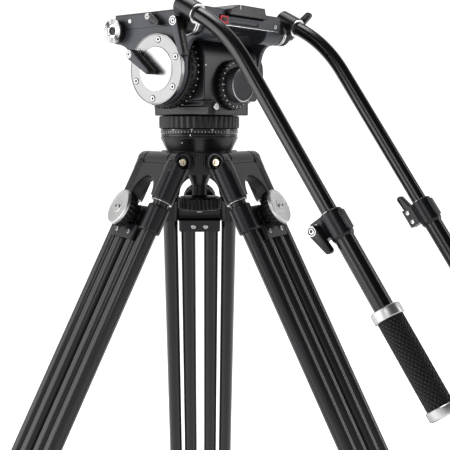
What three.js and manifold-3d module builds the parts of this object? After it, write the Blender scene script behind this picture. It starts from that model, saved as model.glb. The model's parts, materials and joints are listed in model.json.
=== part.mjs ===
// A video tripod with a fluid head. Millimetres, +Z up. Every height is measured from the crown's rim,
// and the whole group is moved at the end so that the feet stand on Z = 0.
import * as THREE from 'three';
import { mergeVertices } from 'three/addons/utils/BufferGeometryUtils.js';
import Module from 'manifold-3d';

const wasm = await Module();
wasm.setup();

// Driving dimensions
const GAP = 0.3;
const MERGE = 0.02;
const ROUND = 12;
const FINE = 24;

const LEG_ANGLE = THREE.MathUtils.degToRad(27.15);
const LEG_AZIMUTHS = { rear: 0, left: 120, right: -120 };
const HINGE_RADIUS = 46;
const HINGE_Z = -10.7;
const CROWN_HEIGHT = 700;
const LEG_LENGTH = (CROWN_HEIGHT + HINGE_Z) / Math.cos(LEG_ANGLE);

const TUBE_R = 9;
const TUBE_WALL = 1.5;
const BORE_R = TUBE_R + GAP;
const OUTER_X = 36.3;
const INNER_X = 14.2;
const PIN_R = 4;
const BARREL_R = 11;
const BARREL_HALF = 27.3;
const CHEEK_START = 28;
const CHEEK_END = 45;
const SCREW_ROOM = 41;
const SOCKET_R = 12.3;
const SOCKET_BOTTOM = -47.5;
const OUTER_TOP = -18;
const OUTER_END = -700;
const INNER_TOP = -86;
const INNER_END = -752;
const BRACKET_TOP = -53;
const BRACKET_BOTTOM = -83;
const INNER_BLOCK_BOTTOM = -97;
const CLAMP_R = 12;
const KNOB_Z = -68;
const KNOB_R = 20;
const GUIDE_TOP = -668;
const GUIDE_BOTTOM = -704;
const FOOT_TOP = -728;
const FOOT_BOTTOM = -760;

const BALL_R = 37.5;
const RIM_R = 41.2;
const CROWN_R = 38.5;
const CROWN_DEPTH = 21.5;
const BALL_PLAY = 0.8;

const HEAD_YAW = THREE.MathUtils.degToRad(-41);
const FLARE_R = 44;
const FLARE_TOP = 15.3;
const FLANGE_TOP = 19.6;
const PAN_RING_R = 45.5;
const PAN_RING_BOTTOM = 25.5;
const PAN_RING_TOP = 39.8;
const SPINDLE_R = 19;

const BLOCK_TOP = 60;
const TILT_Z = 89.1;
const DRUM_R = 34;
const HOUSING_REAR = 47.5;
const HOUSING_HALF = 46;
const CHEEK_IN = 60;
const CHEEK_OUT = 66;
const DISC_R = 38;
const TILT_RING_R = 39.5;
const SHAFT_R = 11;
const PAD_COUNT = 8;

const PLATFORM_BOTTOM = 134;
const PLATFORM_TOP = 151;
const PLATFORM_FRONT = -66;
const PLATFORM_REAR = 66;
const NOSE_R = 14;
const ROSETTE_R = 13;
const FRONT_ROSETTE = [-62, 133];
const REAR_ROSETTE = [52, 134];

const PLATE_TOP = 156.5;
const PLATE_BOTTOM = 145;
const GROOVE_Z = PLATE_BOTTOM - GAP;
const DIAL_Z = 73;

const HANDLE_Y = 87;
const HANDLE_ANGLE = THREE.MathUtils.degToRad(35.3);
const HANDLE_START = [159.5, 54.5];
const UPPER_R = 7.6;
const LOWER_R = 9.3;
const COLLAR_R = 11;
const COLLAR_S = 129;
const COLLAR_END_S = 155;
const GRIP_R = 12.4;
const GRIP_RING_R = 14.3;
const GRIP_S = 229;
const GRIP_END_S = 334;

// The clamp's cover runs along this line, and the tube bends down from it to the handle's own line
const COVER_START = [53, 151];
const BEND_START = [80, 137.1];
const BEND_CORNER = [112.8, 120.2];
const BEND_END_S = -42.6;
const COVER_R = 10.8;
const COVER_LENGTH = 23.6;
const LEVER_IN = 89.3;
const LEVER_ROOM_R = 5.9;
const LENGTH_HUB = [-19, -136.5];

// Finishes
const finish = (color, roughness, metalness) => () =>
  new THREE.MeshStandardMaterial({ color, roughness, metalness });
const casting = finish(0x1d1e20, 0.45, 0.5);
const anodised = finish(0x2a2b2e, 0.35, 0.7);
const carbon = finish(0x141416, 0.4, 0.3);
const plastic = finish(0x121213, 0.6, 0.0);
const silver = finish(0xc9cacc, 0.2, 0.95);
const rubber = finish(0x0e0e0f, 0.85, 0.0);
const redPlastic = finish(0xb01822, 0.5, 0.0);
const whitePlastic = finish(0xe8e8e4, 0.4, 0.0);

// Solid modelling helpers
function signedVolume(position, index) {
  const a = new THREE.Vector3();
  const b = new THREE.Vector3();
  const c = new THREE.Vector3();
  let sum = 0;
  for (let i = 0; i < index.length; i += 3) {
    a.fromBufferAttribute(position, index[i]);
    b.fromBufferAttribute(position, index[i + 1]);
    c.fromBufferAttribute(position, index[i + 2]);
    sum += a.dot(b.cross(c));
  }
  return sum;
}

function solid(geometry) {
  const bare = geometry.clone();
  bare.deleteAttribute('normal');
  bare.deleteAttribute('uv');
  const merged = mergeVertices(bare, 1e-4);
  const index = Array.from(merged.index.array);
  if (signedVolume(merged.attributes.position, index) < 0) {
    index.reverse();
  }
  const vertProperties = new Float32Array(merged.attributes.position.array);
  return new wasm.Manifold(new wasm.Mesh({ numProp: 3, vertProperties, triVerts: new Uint32Array(index) }));
}

function join(...geometries) {
  return geometries.map(asManifold).reduce((a, b) => a.add(b));
}

function cut(body, ...tools) {
  return tools.map(asManifold).reduce((a, b) => a.subtract(b), asManifold(body));
}

function asManifold(body) {
  return body.isBufferGeometry ? solid(body) : body;
}

function piece(name, body, look) {
  const { numProp, vertProperties, triVerts } = asManifold(body).simplify(MERGE).getMesh();
  const geometry = new THREE.BufferGeometry();
  geometry.setAttribute('position', new THREE.BufferAttribute(new Float32Array(vertProperties), numProp));
  geometry.setIndex(Array.from(triVerts));
  const flat = geometry.toNonIndexed();
  flat.computeVertexNormals();
  const mesh = new THREE.Mesh(flat, look());
  mesh.name = name;
  return mesh;
}

// A box between two opposite corners
function block([x0, y0, z0], [x1, y1, z1]) {
  const box = new THREE.BoxGeometry(x1 - x0, y1 - y0, z1 - z0);
  return box.translate((x0 + x1) / 2, (y0 + y1) / 2, (z0 + z1) / 2);
}

// A profile of [radius, z] pairs turned about Z
function turned(profile, segments = FINE) {
  const points = profile.map(([r, z]) => new THREE.Vector2(r, z));
  return new THREE.LatheGeometry(points, segments).rotateX(Math.PI / 2);
}

function pole(radius, z0, z1, segments = ROUND, topRadius = radius) {
  return turned([[0, z0], [radius, z0], [topRadius, z1], [0, z1]], segments);
}

function sleeve(inner, outer, z0, z1, segments = ROUND) {
  return turned([[inner, z0], [outer, z0], [outer, z1], [inner, z1], [inner, z0]], segments);
}

// Lay something modelled along Z onto the X or the Y axis
const alongX = (geometry) => geometry.rotateY(Math.PI / 2);
const alongY = (geometry) => geometry.rotateX(-Math.PI / 2);

function rodX(radius, x0, x1, y, z, segments = ROUND) {
  return alongX(pole(radius, x0, x1, segments)).translate(0, y, z);
}

function rodY(radius, y0, y1, x, z, segments = ROUND) {
  return alongY(pole(radius, y0, y1, segments)).translate(x, 0, z);
}

// An outline in the XZ plane, given thickness from y0 to y1
function slabXZ(shape, y0, y1, curveSegments = 6) {
  const slab = new THREE.ExtrudeGeometry(shape, { depth: y1 - y0, bevelEnabled: false, curveSegments });
  return slab.rotateX(Math.PI / 2).translate(0, y1, 0);
}

// An outline in the XY plane, given height from z0 to z1
function slabXY(shape, z0, z1, curveSegments = 4) {
  const slab = new THREE.ExtrudeGeometry(shape, { depth: z1 - z0, bevelEnabled: false, curveSegments });
  return slab.translate(0, 0, z0);
}

function roundedRectangle(x0, y0, x1, y1, r) {
  const shape = new THREE.Shape();
  shape.moveTo(x0 + r, y0);
  shape.absarc(x1 - r, y0 + r, r, -Math.PI / 2, 0);
  shape.absarc(x1 - r, y1 - r, r, 0, Math.PI / 2);
  shape.absarc(x0 + r, y1 - r, r, Math.PI / 2, Math.PI);
  shape.absarc(x0 + r, y0 + r, r, Math.PI, Math.PI * 1.5);
  return shape;
}

// A round outline with square teeth, for a part that is turned by hand
function toothedOutline(radius, depth, teeth, land = 0.55) {
  const shape = new THREE.Shape();
  const pitch = (2 * Math.PI) / teeth;
  const corners = [[0, radius], [land, radius], [land + 0.12, radius - depth], [0.88, radius - depth]];
  for (let tooth = 0; tooth < teeth; tooth += 1) {
    for (const [fraction, r] of corners) {
      const angle = (tooth + fraction) * pitch;
      const method = tooth === 0 && fraction === 0 ? 'moveTo' : 'lineTo';
      shape[method](r * Math.cos(angle), r * Math.sin(angle));
    }
  }
  return shape;
}

// A lever seen from its side: a round hub that narrows to a round tip
function leverOutline(hub, hubR, tip, tipR) {
  const angle = Math.atan2(tip[1] - hub[1], tip[0] - hub[0]);
  const length = Math.hypot(tip[0] - hub[0], tip[1] - hub[1]);
  const side = Math.acos((hubR - tipR) / length);
  const shape = new THREE.Shape();
  shape.absarc(hub[0], hub[1], hubR, angle + side, angle - side + 2 * Math.PI);
  shape.absarc(tip[0], tip[1], tipR, angle - side, angle + side);
  return shape;
}

// Crown: bowl, rim and three hinge barrels, each with its pin
function crown() {
  const seat = BALL_R + BALL_PLAY;
  const bowl = [];
  for (let step = 0; step <= 4; step += 1) {
    const z = -CROWN_DEPTH + (step * (CROWN_DEPTH - 4.5)) / 4;
    bowl.push([Math.sqrt(seat * seat - z * z), z]);
  }
  const outside = [[39.6, 0], [RIM_R, 0], [RIM_R, -2.8], [CROWN_R, -3.3], [CROWN_R, -CROWN_DEPTH + 2]];
  const body = turned([...bowl, ...outside, [CROWN_R - 2, -CROWN_DEPTH], bowl[0]]);
  let result = solid(body);
  for (const azimuth of Object.values(LEG_AZIMUTHS)) {
    const barrel = rodX(BARREL_R, -BARREL_HALF, BARREL_HALF, HINGE_RADIUS, HINGE_Z, ROUND);
    const bridge = block([-27, 36.5, -14], [27, HINGE_RADIUS, -1.5]);
    const pin = rodX(PIN_R, -43, 43, HINGE_RADIUS, HINGE_Z, 16);
    const lug = cut(join(barrel, bridge, pin), pole(CROWN_R - 0.4, -CROWN_DEPTH, 5, FINE));
    result = result.add(lug.rotate([0, 0, azimuth]));
  }
  return piece('crown', result, casting);
}

// Legs. In a leg's own frame X runs across it, Y faces outward and -Z runs down from the hinge.
function yoke(name) {
  const parts = [];
  for (const side of [-1, 1]) {
    const [x0, x1] = side > 0 ? [CHEEK_START, CHEEK_END] : [-CHEEK_END, -CHEEK_START];
    parts.push(rodX(BARREL_R, x0, x1, 0, 0));
    parts.push(pole(SOCKET_R, SOCKET_BOTTOM, -2, ROUND).translate(side * OUTER_X, 0, 0));
    parts.push(block([side * OUTER_X - 8, -11, -14], [side * OUTER_X + 8, 11, 0]));
  }
  const web = block([-34, -3, -44], [34, 10.5, -4]);
  const arch = alongY(pole(24, -20, 20, ROUND)).translate(0, 0, -46);
  const barrelRoom = rodX(BARREL_R + 2 * GAP, -BARREL_HALF - 0.4, BARREL_HALF + 0.4, 0, 0);
  const bores = [-1, 1].map((side) => pole(BORE_R, -60, OUTER_TOP, ROUND).translate(side * OUTER_X, 0, 0));
  const pinBore = rodX(PIN_R + GAP, -60, 60, 0, 0, 16);
  const recesses = [[-60, -SCREW_ROOM], [SCREW_ROOM, 60]].map(([x0, x1]) => rodX(7, x0, x1, 0, 0));
  return piece(name, cut(join(...parts, cut(web, arch)), barrelRoom, pinBore, ...bores, ...recesses), casting);
}

function bracket(name) {
  const sleeves = [-1, 1].map((side) =>
    pole(CLAMP_R, BRACKET_BOTTOM, BRACKET_TOP, ROUND).translate(side * OUTER_X, 0, 0));
  const web = block([-OUTER_X, -5, BRACKET_BOTTOM], [OUTER_X, 5, BRACKET_TOP - 3]);
  const inner = slabXY(roundedRectangle(-25.5, -11.5, 25.5, 11.5, 3), INNER_BLOCK_BOTTOM, BRACKET_BOTTOM + 2);
  const boss = rodY(11, 4, 13, 0, KNOB_Z);
  const bores = [-1, 1].map((side) => pole(BORE_R, -120, 0, ROUND).translate(side * OUTER_X, 0, 0));
  const pockets = [-1, 1].map((side) =>
    pole(BORE_R, -120, INNER_TOP + GAP, ROUND).translate(side * INNER_X, 0, 0));
  return piece(name, cut(join(...sleeves, web, inner, boss), ...bores, ...pockets), casting);
}

function legKnob(name) {
  const grip = slabXY(toothedOutline(KNOB_R, 1.2, 14), 15.5, 25);
  const face = pole(KNOB_R + GAP, 25, 29, FINE, KNOB_R - 0.7);
  const hub = pole(9, 13 + GAP, 16, ROUND);
  return piece(name, join(grip, face, hub).rotate([-90, 0, 0]).translate([0, 0, KNOB_Z]), silver);
}

function legTube(name, x, top, bottom) {
  const tube = sleeve(TUBE_R - TUBE_WALL, TUBE_R, bottom, top);
  return piece(name, tube.translate(x, 0, 0), carbon);
}

function guide(name) {
  const outline = roundedRectangle(-OUTER_X - CLAMP_R, -CLAMP_R, OUTER_X + CLAMP_R, CLAMP_R, 11.9);
  const body = slabXY(outline, GUIDE_BOTTOM, GUIDE_TOP);
  const middle = block([-4.4, -20, GUIDE_BOTTOM - 1], [4.4, 20, GUIDE_TOP + 1]);
  const bridge = block([-6, -7, GUIDE_BOTTOM], [6, 7, GUIDE_TOP]);
  const outerPockets = [-1, 1].map((side) =>
    pole(BORE_R, OUTER_END - GAP, 0, ROUND).translate(side * OUTER_X, 0, 0));
  const innerBores = [-1, 1].map((side) => pole(BORE_R, -800, 0, ROUND).translate(side * INNER_X, 0, 0));
  const waisted = join(cut(body, middle), cut(bridge, ...innerBores));
  return piece(name, cut(waisted, ...outerPockets, ...innerBores), casting);
}

// The foot joins the two inner tubes. Its rubber pad is flat on the floor with the legs spread.
function foot(name) {
  const bridge = slabXY(roundedRectangle(-24, -11, 24, 11, 10.9), FOOT_BOTTOM, FOOT_TOP);
  const neck = pole(9, -782, -750, ROUND, 13);
  const pockets = [-1, 1].map((side) =>
    pole(BORE_R, INNER_END - GAP, 0, ROUND).translate(side * INNER_X, 0, 0));
  const pad = turned([[0, 0], [20, 0], [21, 2], [21, 6], [12, 15], [0, 15]], ROUND);
  const standing = pad.rotateX(-LEG_ANGLE).translate(0, 0, -LEG_LENGTH);
  const floorCut = block([-60, -60, -60], [60, 60, 0]).rotateX(-LEG_ANGLE).translate(0, 0, -LEG_LENGTH);
  return piece(name, cut(join(cut(join(bridge, neck), ...pockets), standing), floorCut), rubber);
}

function leg(side) {
  const group = new THREE.Group();
  group.add(
    yoke(`${side}_leg_shoulder`),
    legTube(`${side}_outer_tube_a`, -OUTER_X, OUTER_TOP - GAP, OUTER_END),
    legTube(`${side}_outer_tube_b`, OUTER_X, OUTER_TOP - GAP, OUTER_END),
    guide(`${side}_tube_guide`),
    bracket(`${side}_slide_bracket`),
    legKnob(`${side}_lock_knob`),
    legTube(`${side}_inner_tube_a`, -INNER_X, INNER_TOP, INNER_END),
    legTube(`${side}_inner_tube_b`, INNER_X, INNER_TOP, INNER_END),
    foot(`${side}_foot`),
  );
  group.position.set(0, HINGE_RADIUS, HINGE_Z);
  group.rotation.x = LEG_ANGLE;
  const turn = new THREE.Group();
  turn.add(group);
  turn.rotation.z = THREE.MathUtils.degToRad(LEG_AZIMUTHS[side]);
  return turn;
}

// Head. In its own frame +X is the rear, where the handles are, and the bright side disc faces -Y.
function halfBall() {
  const ball = [];
  for (let step = 0; step <= 5; step += 1) {
    const z = -26 + (step * 26) / 5;
    ball.push([Math.sqrt(BALL_R * BALL_R - z * z), z]);
  }
  const above = [[37.4, 1.5], [FLARE_R, FLARE_TOP], [FLARE_R, FLARE_TOP + 0.4], [43.4, FLARE_TOP + 0.8]];
  const top = [[43.4, FLANGE_TOP], [SPINDLE_R, FLANGE_TOP], [SPINDLE_R, PAN_RING_TOP], [0, PAN_RING_TOP]];
  const stem = [[0, -39], [8.5, -39], [13.5, -26]];
  return piece('half_ball', turned([...stem, ...ball, ...above, ...top]), casting);
}

function clampKnob() {
  const neck = pole(8, -52, -39 - GAP, ROUND);
  const grip = slabXY(toothedOutline(24.5, 1.4, 18), -66, -53.5);
  const crownPlate = pole(24.7, -53.6, -51.6, FINE, 22.5);
  const underside = pole(20, -67.5, -65.9, FINE, 24);
  const tip = pole(3, -70, -67, 16);
  return piece('clamp_knob', join(neck, grip, crownPlate, underside, tip), plastic);
}

function panRing() {
  const band = pole(43.9, FLANGE_TOP + GAP, PAN_RING_BOTTOM, FINE);
  const grip = slabXY(toothedOutline(PAN_RING_R, 1.3, 24), PAN_RING_BOTTOM - 0.01, PAN_RING_TOP);
  const hole = pole(SPINDLE_R + GAP, 0, 60, FINE);
  return piece('pan_drag_ring', cut(join(band, grip), hole), plastic);
}

function housing() {
  const base = slabXY(roundedRectangle(-41, -34, HOUSING_REAR, 34, 7), PAN_RING_TOP + GAP, BLOCK_TOP);
  const profile = new THREE.Shape();
  profile.moveTo(-DRUM_R, BLOCK_TOP - 2);
  profile.lineTo(HOUSING_REAR - 4, BLOCK_TOP - 2);
  profile.quadraticCurveTo(HOUSING_REAR, BLOCK_TOP - 2, HOUSING_REAR, BLOCK_TOP + 2);
  profile.lineTo(HOUSING_REAR, TILT_Z + 10);
  profile.quadraticCurveTo(HOUSING_REAR, TILT_Z + DRUM_R, 8, TILT_Z + DRUM_R);
  profile.lineTo(0, TILT_Z + DRUM_R);
  profile.absarc(0, TILT_Z, DRUM_R, Math.PI / 2, Math.PI);
  const drum = slabXZ(profile, -HOUSING_HALF, HOUSING_HALF, 8);
  return piece('head_housing', join(base, drum), casting);
}

function bubbleLevel() {
  const window = rodX(3.2, HOUSING_REAR + GAP, HOUSING_REAR + 1.4, -27, 49.5, 20);
  return piece('bubble_level', window, whitePlastic);
}

function tiltRing() {
  const ring = sleeve(SHAFT_R + GAP, TILT_RING_R, -CHEEK_IN + GAP, -HOUSING_HALF - GAP, FINE);
  const pads = [];
  for (let number = 0; number < PAD_COUNT; number += 1) {
    const pad = block([TILT_RING_R - 3, -3.2, -56], [TILT_RING_R + 1, 3.2, -49]);
    pads.push(pad.rotateZ((number * 2 * Math.PI) / PAD_COUNT));
  }
  return piece('tilt_drag_ring', alongRing(join(ring, ...pads)), plastic);
}

// Carry something modelled along Z about the origin onto the tilt axis
const alongRing = (body) => body.rotate([-90, 0, 0]).translate([0, 0, TILT_Z]);

function dial() {
  const ring = pole(27.4, HOUSING_REAR + GAP, HOUSING_REAR + 6.5, FINE);
  const rim = pole(25.4, HOUSING_REAR + 6.4, HOUSING_REAR + 8, FINE, 22);
  const cap = pole(19.6, HOUSING_REAR + 7.9, HOUSING_REAR + 16.5, FINE, 19);
  return piece('counterbalance_dial', join(ring, rim, cap).rotate([0, 90, 0]).translate([0, 0, DIAL_Z]), plastic);
}

function sideOutline() {
  const [frontX, frontZ] = FRONT_ROSETTE;
  const [rearX, rearZ] = REAR_ROSETTE;
  const shape = new THREE.Shape();
  shape.moveTo(PLATFORM_FRONT, PLATFORM_TOP);
  shape.absarc(frontX, frontZ, NOSE_R, Math.PI * 0.61, Math.PI * 1.45);
  shape.quadraticCurveTo(-44, frontZ - 16, -DISC_R, TILT_Z + 6);
  shape.absarc(0, TILT_Z, DISC_R, Math.PI * 0.95, Math.PI * 2.05);
  shape.quadraticCurveTo(40, rearZ - 16, rearX, rearZ - NOSE_R);
  shape.absarc(rearX, rearZ, NOSE_R, -Math.PI / 2, 0);
  shape.lineTo(PLATFORM_REAR, PLATFORM_TOP);
  return shape;
}

function grooveOutline() {
  const shape = new THREE.Shape();
  shape.moveTo(-34, GROOVE_Z);
  shape.lineTo(34, GROOVE_Z);
  shape.lineTo(30, PLATFORM_TOP + 1);
  shape.lineTo(-30, PLATFORM_TOP + 1);
  return shape;
}

// The outline across the head, run along X
function slabYZ(shape, x0, x1) {
  const slab = new THREE.ExtrudeGeometry(shape, { depth: x1 - x0, bevelEnabled: false });
  return slab.rotateX(Math.PI / 2).rotateZ(Math.PI / 2).translate(x0, 0, 0);
}

function cradle() {
  const front = PLATFORM_FRONT;
  const rear = PLATFORM_REAR;
  const top = block([front, -CHEEK_OUT, PLATFORM_BOTTOM], [rear, CHEEK_OUT, PLATFORM_TOP]);
  const parts = [top];
  for (const side of [-1, 1]) {
    const cheekStart = side > 0 ? CHEEK_IN : -CHEEK_OUT;
    parts.push(slabXZ(sideOutline(), cheekStart, cheekStart + CHEEK_OUT - CHEEK_IN, 8));
    const shaftStart = side > 0 ? HOUSING_HALF + GAP : -CHEEK_IN - 1;
    parts.push(rodY(SHAFT_R, shaftStart, shaftStart + CHEEK_IN - HOUSING_HALF + 0.7, 0, TILT_Z));
    const stub = [CHEEK_OUT - 26, CHEEK_OUT];
    const [y0, y1] = side > 0 ? stub : [-stub[1], -stub[0]];
    parts.push(rodY(NOSE_R, y0, y1, ...FRONT_ROSETTE));
    parts.push(rodY(NOSE_R, y0, y1, ...REAR_ROSETTE));
  }
  const groove = slabYZ(grooveOutline(), front - 10, rear + 10);
  const buttonPocket = block([rear - 6, -42.6, 135.2], [rear + 10, -29.4, 144]);
  return piece('cradle', cut(join(...parts), groove, buttonPocket), casting);
}

function disc(name, side, look) {
  const profile = [[0, 0], [DISC_R, 0], [DISC_R, 4], [DISC_R - 1.2, 5.2], [0, 5.2]];
  const plate = turned(profile, FINE).translate(0, 0, CHEEK_OUT + GAP);
  return piece(name, alongRing(solid(plate).rotate([side > 0 ? 0 : 180, 0, 0])), look);
}

function tiltLever() {
  const hub = [-26.2, TILT_Z + 16.2];
  const outline = leverOutline(hub, 5.2, [0, TILT_Z - 3], 3);
  const outer = slabXZ(outline, -86, -72.3);
  return piece('tilt_lock_lever', outer, casting);
}

function panLever() {
  const outline = leverOutline([0, 0], 6, [0, 26], 4);
  const lever = slabXY(outline, 41 + GAP, 50);
  return piece('pan_lock_lever', solid(lever).rotate([0, -90, 0]).translate([0, 8, 50]), casting);
}

function cameraPlate() {
  const shape = new THREE.Shape();
  shape.moveTo(-33.4, PLATE_BOTTOM);
  shape.lineTo(33.4, PLATE_BOTTOM);
  shape.lineTo(29.4, PLATFORM_TOP + 0.5);
  shape.lineTo(28, PLATE_TOP);
  shape.lineTo(-16, PLATE_TOP);
  shape.lineTo(-29.4, PLATFORM_TOP + 0.5);
  const body = slabYZ(shape, -50, 72);
  const hole = pole(5.1, 100, 200, 20);
  const headRoom = pole(9.3, PLATE_BOTTOM - 1, PLATE_BOTTOM + 4.3, ROUND);
  return piece('camera_plate', cut(body, hole, headRoom), anodised);
}

function cameraScrew() {
  const head = pole(9, PLATE_BOTTOM, PLATE_BOTTOM + 4, ROUND);
  const shank = pole(4.75, PLATE_BOTTOM + 3, PLATE_TOP + 7, 20);
  return piece('camera_screw', join(head, shank), silver);
}

function plateLever() {
  const outline = leverOutline([-8, 145], 4, [6, 137.5], 2.4);
  return piece('plate_lock_lever', slabXZ(outline, -75, -CHEEK_OUT - GAP), casting);
}

function redButton() {
  const button = block([PLATFORM_REAR - 3.5, -42, 135.8], [PLATFORM_REAR + 2, -30, 143.4]);
  return piece('safety_button', button, redPlastic);
}

function rosette(name, [x, z], side) {
  const near = CHEEK_OUT + GAP;
  const body = pole(ROSETTE_R, 8, 9.6, FINE);
  const drum = pole(ROSETTE_R - 0.8, 0, 8.1, FINE);
  const turnedOut = join(drum, body).translate([0, 0, near]).rotate([side > 0 ? -90 : 90, 0, 0]);
  return piece(name, turnedOut.translate([x, 0, z]), silver);
}

// Handles. Each is built on the +Y side and mirrored by its sign.
const CASTING_IN = CHEEK_OUT + GAP + 9.6 + GAP;

function handlePoint(s) {
  return [HANDLE_START[0] + s * Math.sin(HANDLE_ANGLE), HANDLE_START[1] - s * Math.cos(HANDLE_ANGLE)];
}

function handlePath(side) {
  const at = ([x, z]) => new THREE.Vector3(x, side * HANDLE_Y, z);
  const path = new THREE.CurvePath();
  const bendEnd = at(handlePoint(BEND_END_S));
  path.add(new THREE.LineCurve3(at(COVER_START), at(BEND_START)));
  path.add(new THREE.QuadraticBezierCurve3(at(BEND_START), at(BEND_CORNER), bendEnd));
  path.add(new THREE.LineCurve3(bendEnd, at(handlePoint(COLLAR_S + 180))));
  return path;
}

function circleShape(radius) {
  const shape = new THREE.Shape();
  shape.absarc(0, 0, radius, 0, Math.PI * 2);
  return shape;
}

function upperTube(name, side) {
  const options = { steps: 20, bevelEnabled: false, extrudePath: handlePath(side), curveSegments: 6 };
  return piece(name, new THREE.ExtrudeGeometry(circleShape(UPPER_R), options), anodised);
}

function handleClamp(name, side) {
  const [x, z] = REAR_ROSETTE;
  const across = (inner, outer) => (side > 0 ? [inner, outer] : [-outer, -inner]);
  const [fromX, fromZ] = COVER_START;
  const slope = Math.atan2(fromZ - BEND_START[1], BEND_START[0] - fromX);
  const along = (radius, s0, s1) =>
    alongX(pole(radius, s0, s1, ROUND)).rotateY(slope).translate(fromX, side * HANDLE_Y, fromZ);
  const lug = rodY(12.5, ...across(CASTING_IN, LEVER_IN - GAP), x, z);
  const leverRoom = rodY(LEVER_ROOM_R, ...across(LEVER_IN - GAP, 120), x, z);
  const cover = along(COVER_R, -2.5, COVER_LENGTH);
  return piece(name, cut(join(lug, cover), along(UPPER_R + 0.7, -GAP, 60), leverRoom), casting);
}

// The near lever hangs down. The far one points up, so its arm stands outside the cover.
function clampLever(name, side) {
  const [x, z] = REAR_ROSETTE;
  const hubR = LEVER_ROOM_R - 2 * GAP;
  if (side > 0) {
    const armIn = HANDLE_Y + COVER_R + 2 * GAP;
    const arm = slabXZ(leverOutline([x, z], hubR, [x + 27, z + 21.5], 3.4), armIn, armIn + 7);
    return piece(name, join(rodY(hubR, LEVER_IN, armIn + 1, x, z), arm), casting);
  }
  return piece(name, slabXZ(leverOutline([x, z], hubR, [x + 10, z - 32], 3.6), -100, -LEVER_IN), casting);
}

function handleFrame(side) {
  const frame = new THREE.Group();
  frame.position.set(HANDLE_START[0], side * HANDLE_Y, HANDLE_START[1]);
  frame.rotation.y = -HANDLE_ANGLE;
  return frame;
}

function lowerTube(name) {
  const inner = UPPER_R + GAP;
  const stop = -GRIP_END_S + 20;
  const profile = [[inner, -COLLAR_S], [COLLAR_R, -COLLAR_S], [COLLAR_R, -COLLAR_END_S],
    [LOWER_R, -COLLAR_END_S - 2], [LOWER_R, -GRIP_END_S + 3], [0, -GRIP_END_S + 3], [0, stop], [inner, stop],
    [inner, -COLLAR_S]];
  const lug = block([-22, -6, -COLLAR_S - 20], [-8, 6, -COLLAR_S + 1]);
  const bore = pole(inner, stop + 50, -COLLAR_S + 10, FINE);
  return piece(name, cut(join(turned(profile, FINE), lug), bore), anodised);
}

// On the outer side of each handle: the near lever lies toward the grip, and the far one toward the head
function lengthLever(name, side) {
  const [x, z] = LENGTH_HUB;
  const tip = side > 0 ? [x - 4, z + 23.5] : [x + 4.5, z - 23];
  const [y0, y1] = side > 0 ? [6 + GAP, 14] : [-14, -6 - GAP];
  return piece(name, slabXZ(leverOutline(LENGTH_HUB, 5.5, tip, 3.4), y0, y1), casting);
}

function grip(name) {
  const inner = LOWER_R + GAP;
  const top = -GRIP_S;
  const end = -GRIP_END_S;
  const profile = [[inner, top], [GRIP_RING_R - 1, top], [GRIP_RING_R, top - 2], [GRIP_RING_R, top - 10],
    [GRIP_R, top - 11], [GRIP_R, end + 10], [GRIP_RING_R, end + 9], [GRIP_RING_R, end + 1],
    [GRIP_RING_R - 1, end], [0, end], [0, end + 2], [inner, end + 2], [inner, top]];
  return piece(name, turned(profile, FINE), rubber);
}

function handle(letter, side) {
  const frame = handleFrame(side);
  frame.add(lowerTube(`lower_handle_${letter}`), lengthLever(`length_lever_${letter}`, side), grip(`grip_${letter}`));
  return [
    handleClamp(`handle_clamp_${letter}`, side),
    upperTube(`upper_handle_${letter}`, side),
    clampLever(`angle_lever_${letter}`, side),
    frame,
  ];
}

function head() {
  const group = new THREE.Group();
  group.add(
    halfBall(),
    clampKnob(),
    panRing(),
    housing(),
    bubbleLevel(),
    tiltRing(),
    dial(),
    cradle(),
    disc('bright_side_disc', -1, silver),
    disc('far_side_disc', 1, casting),
    tiltLever(),
    panLever(),
    cameraPlate(),
    cameraScrew(),
    plateLever(),
    redButton(),
    rosette('front_rosette_a', FRONT_ROSETTE, -1),
    rosette('front_rosette_b', FRONT_ROSETTE, 1),
    rosette('rear_rosette_a', REAR_ROSETTE, -1),
    rosette('rear_rosette_b', REAR_ROSETTE, 1),
    ...handle('a', -1),
    ...handle('b', 1),
  );
  group.rotation.z = HEAD_YAW;
  return group;
}

const tripod = new THREE.Group();
tripod.add(crown(), head());
for (const side of Object.keys(LEG_AZIMUTHS)) {
  tripod.add(leg(side));
}
tripod.updateMatrixWorld(true);
const extent = new THREE.Box3().setFromObject(tripod, true);
const middle = extent.getCenter(new THREE.Vector3());
tripod.position.set(-middle.x, -middle.y, -extent.min.z);

export default tripod;
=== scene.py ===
import json
import math

import bmesh
import bpy
from mathutils import Matrix, Vector


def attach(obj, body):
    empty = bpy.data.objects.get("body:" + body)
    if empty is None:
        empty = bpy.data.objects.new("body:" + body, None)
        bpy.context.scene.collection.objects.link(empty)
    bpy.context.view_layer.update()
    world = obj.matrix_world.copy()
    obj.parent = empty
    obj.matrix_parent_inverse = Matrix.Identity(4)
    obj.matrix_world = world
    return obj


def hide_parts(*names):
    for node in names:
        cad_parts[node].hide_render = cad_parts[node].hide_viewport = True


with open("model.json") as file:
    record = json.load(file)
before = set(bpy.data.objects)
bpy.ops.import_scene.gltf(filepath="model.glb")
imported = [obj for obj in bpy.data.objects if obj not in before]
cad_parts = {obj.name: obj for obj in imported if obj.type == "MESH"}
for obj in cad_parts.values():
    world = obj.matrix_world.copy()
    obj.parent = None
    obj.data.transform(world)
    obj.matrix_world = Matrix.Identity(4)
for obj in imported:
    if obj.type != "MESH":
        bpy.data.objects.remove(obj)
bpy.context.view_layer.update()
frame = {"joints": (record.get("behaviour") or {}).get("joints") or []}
joints = {joint["name"]: joint for joint in frame["joints"]}

MM = 0.001
SIDES = ("rear", "left", "right")
HANDLES = {"a": -1, "b": 1}

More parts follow.
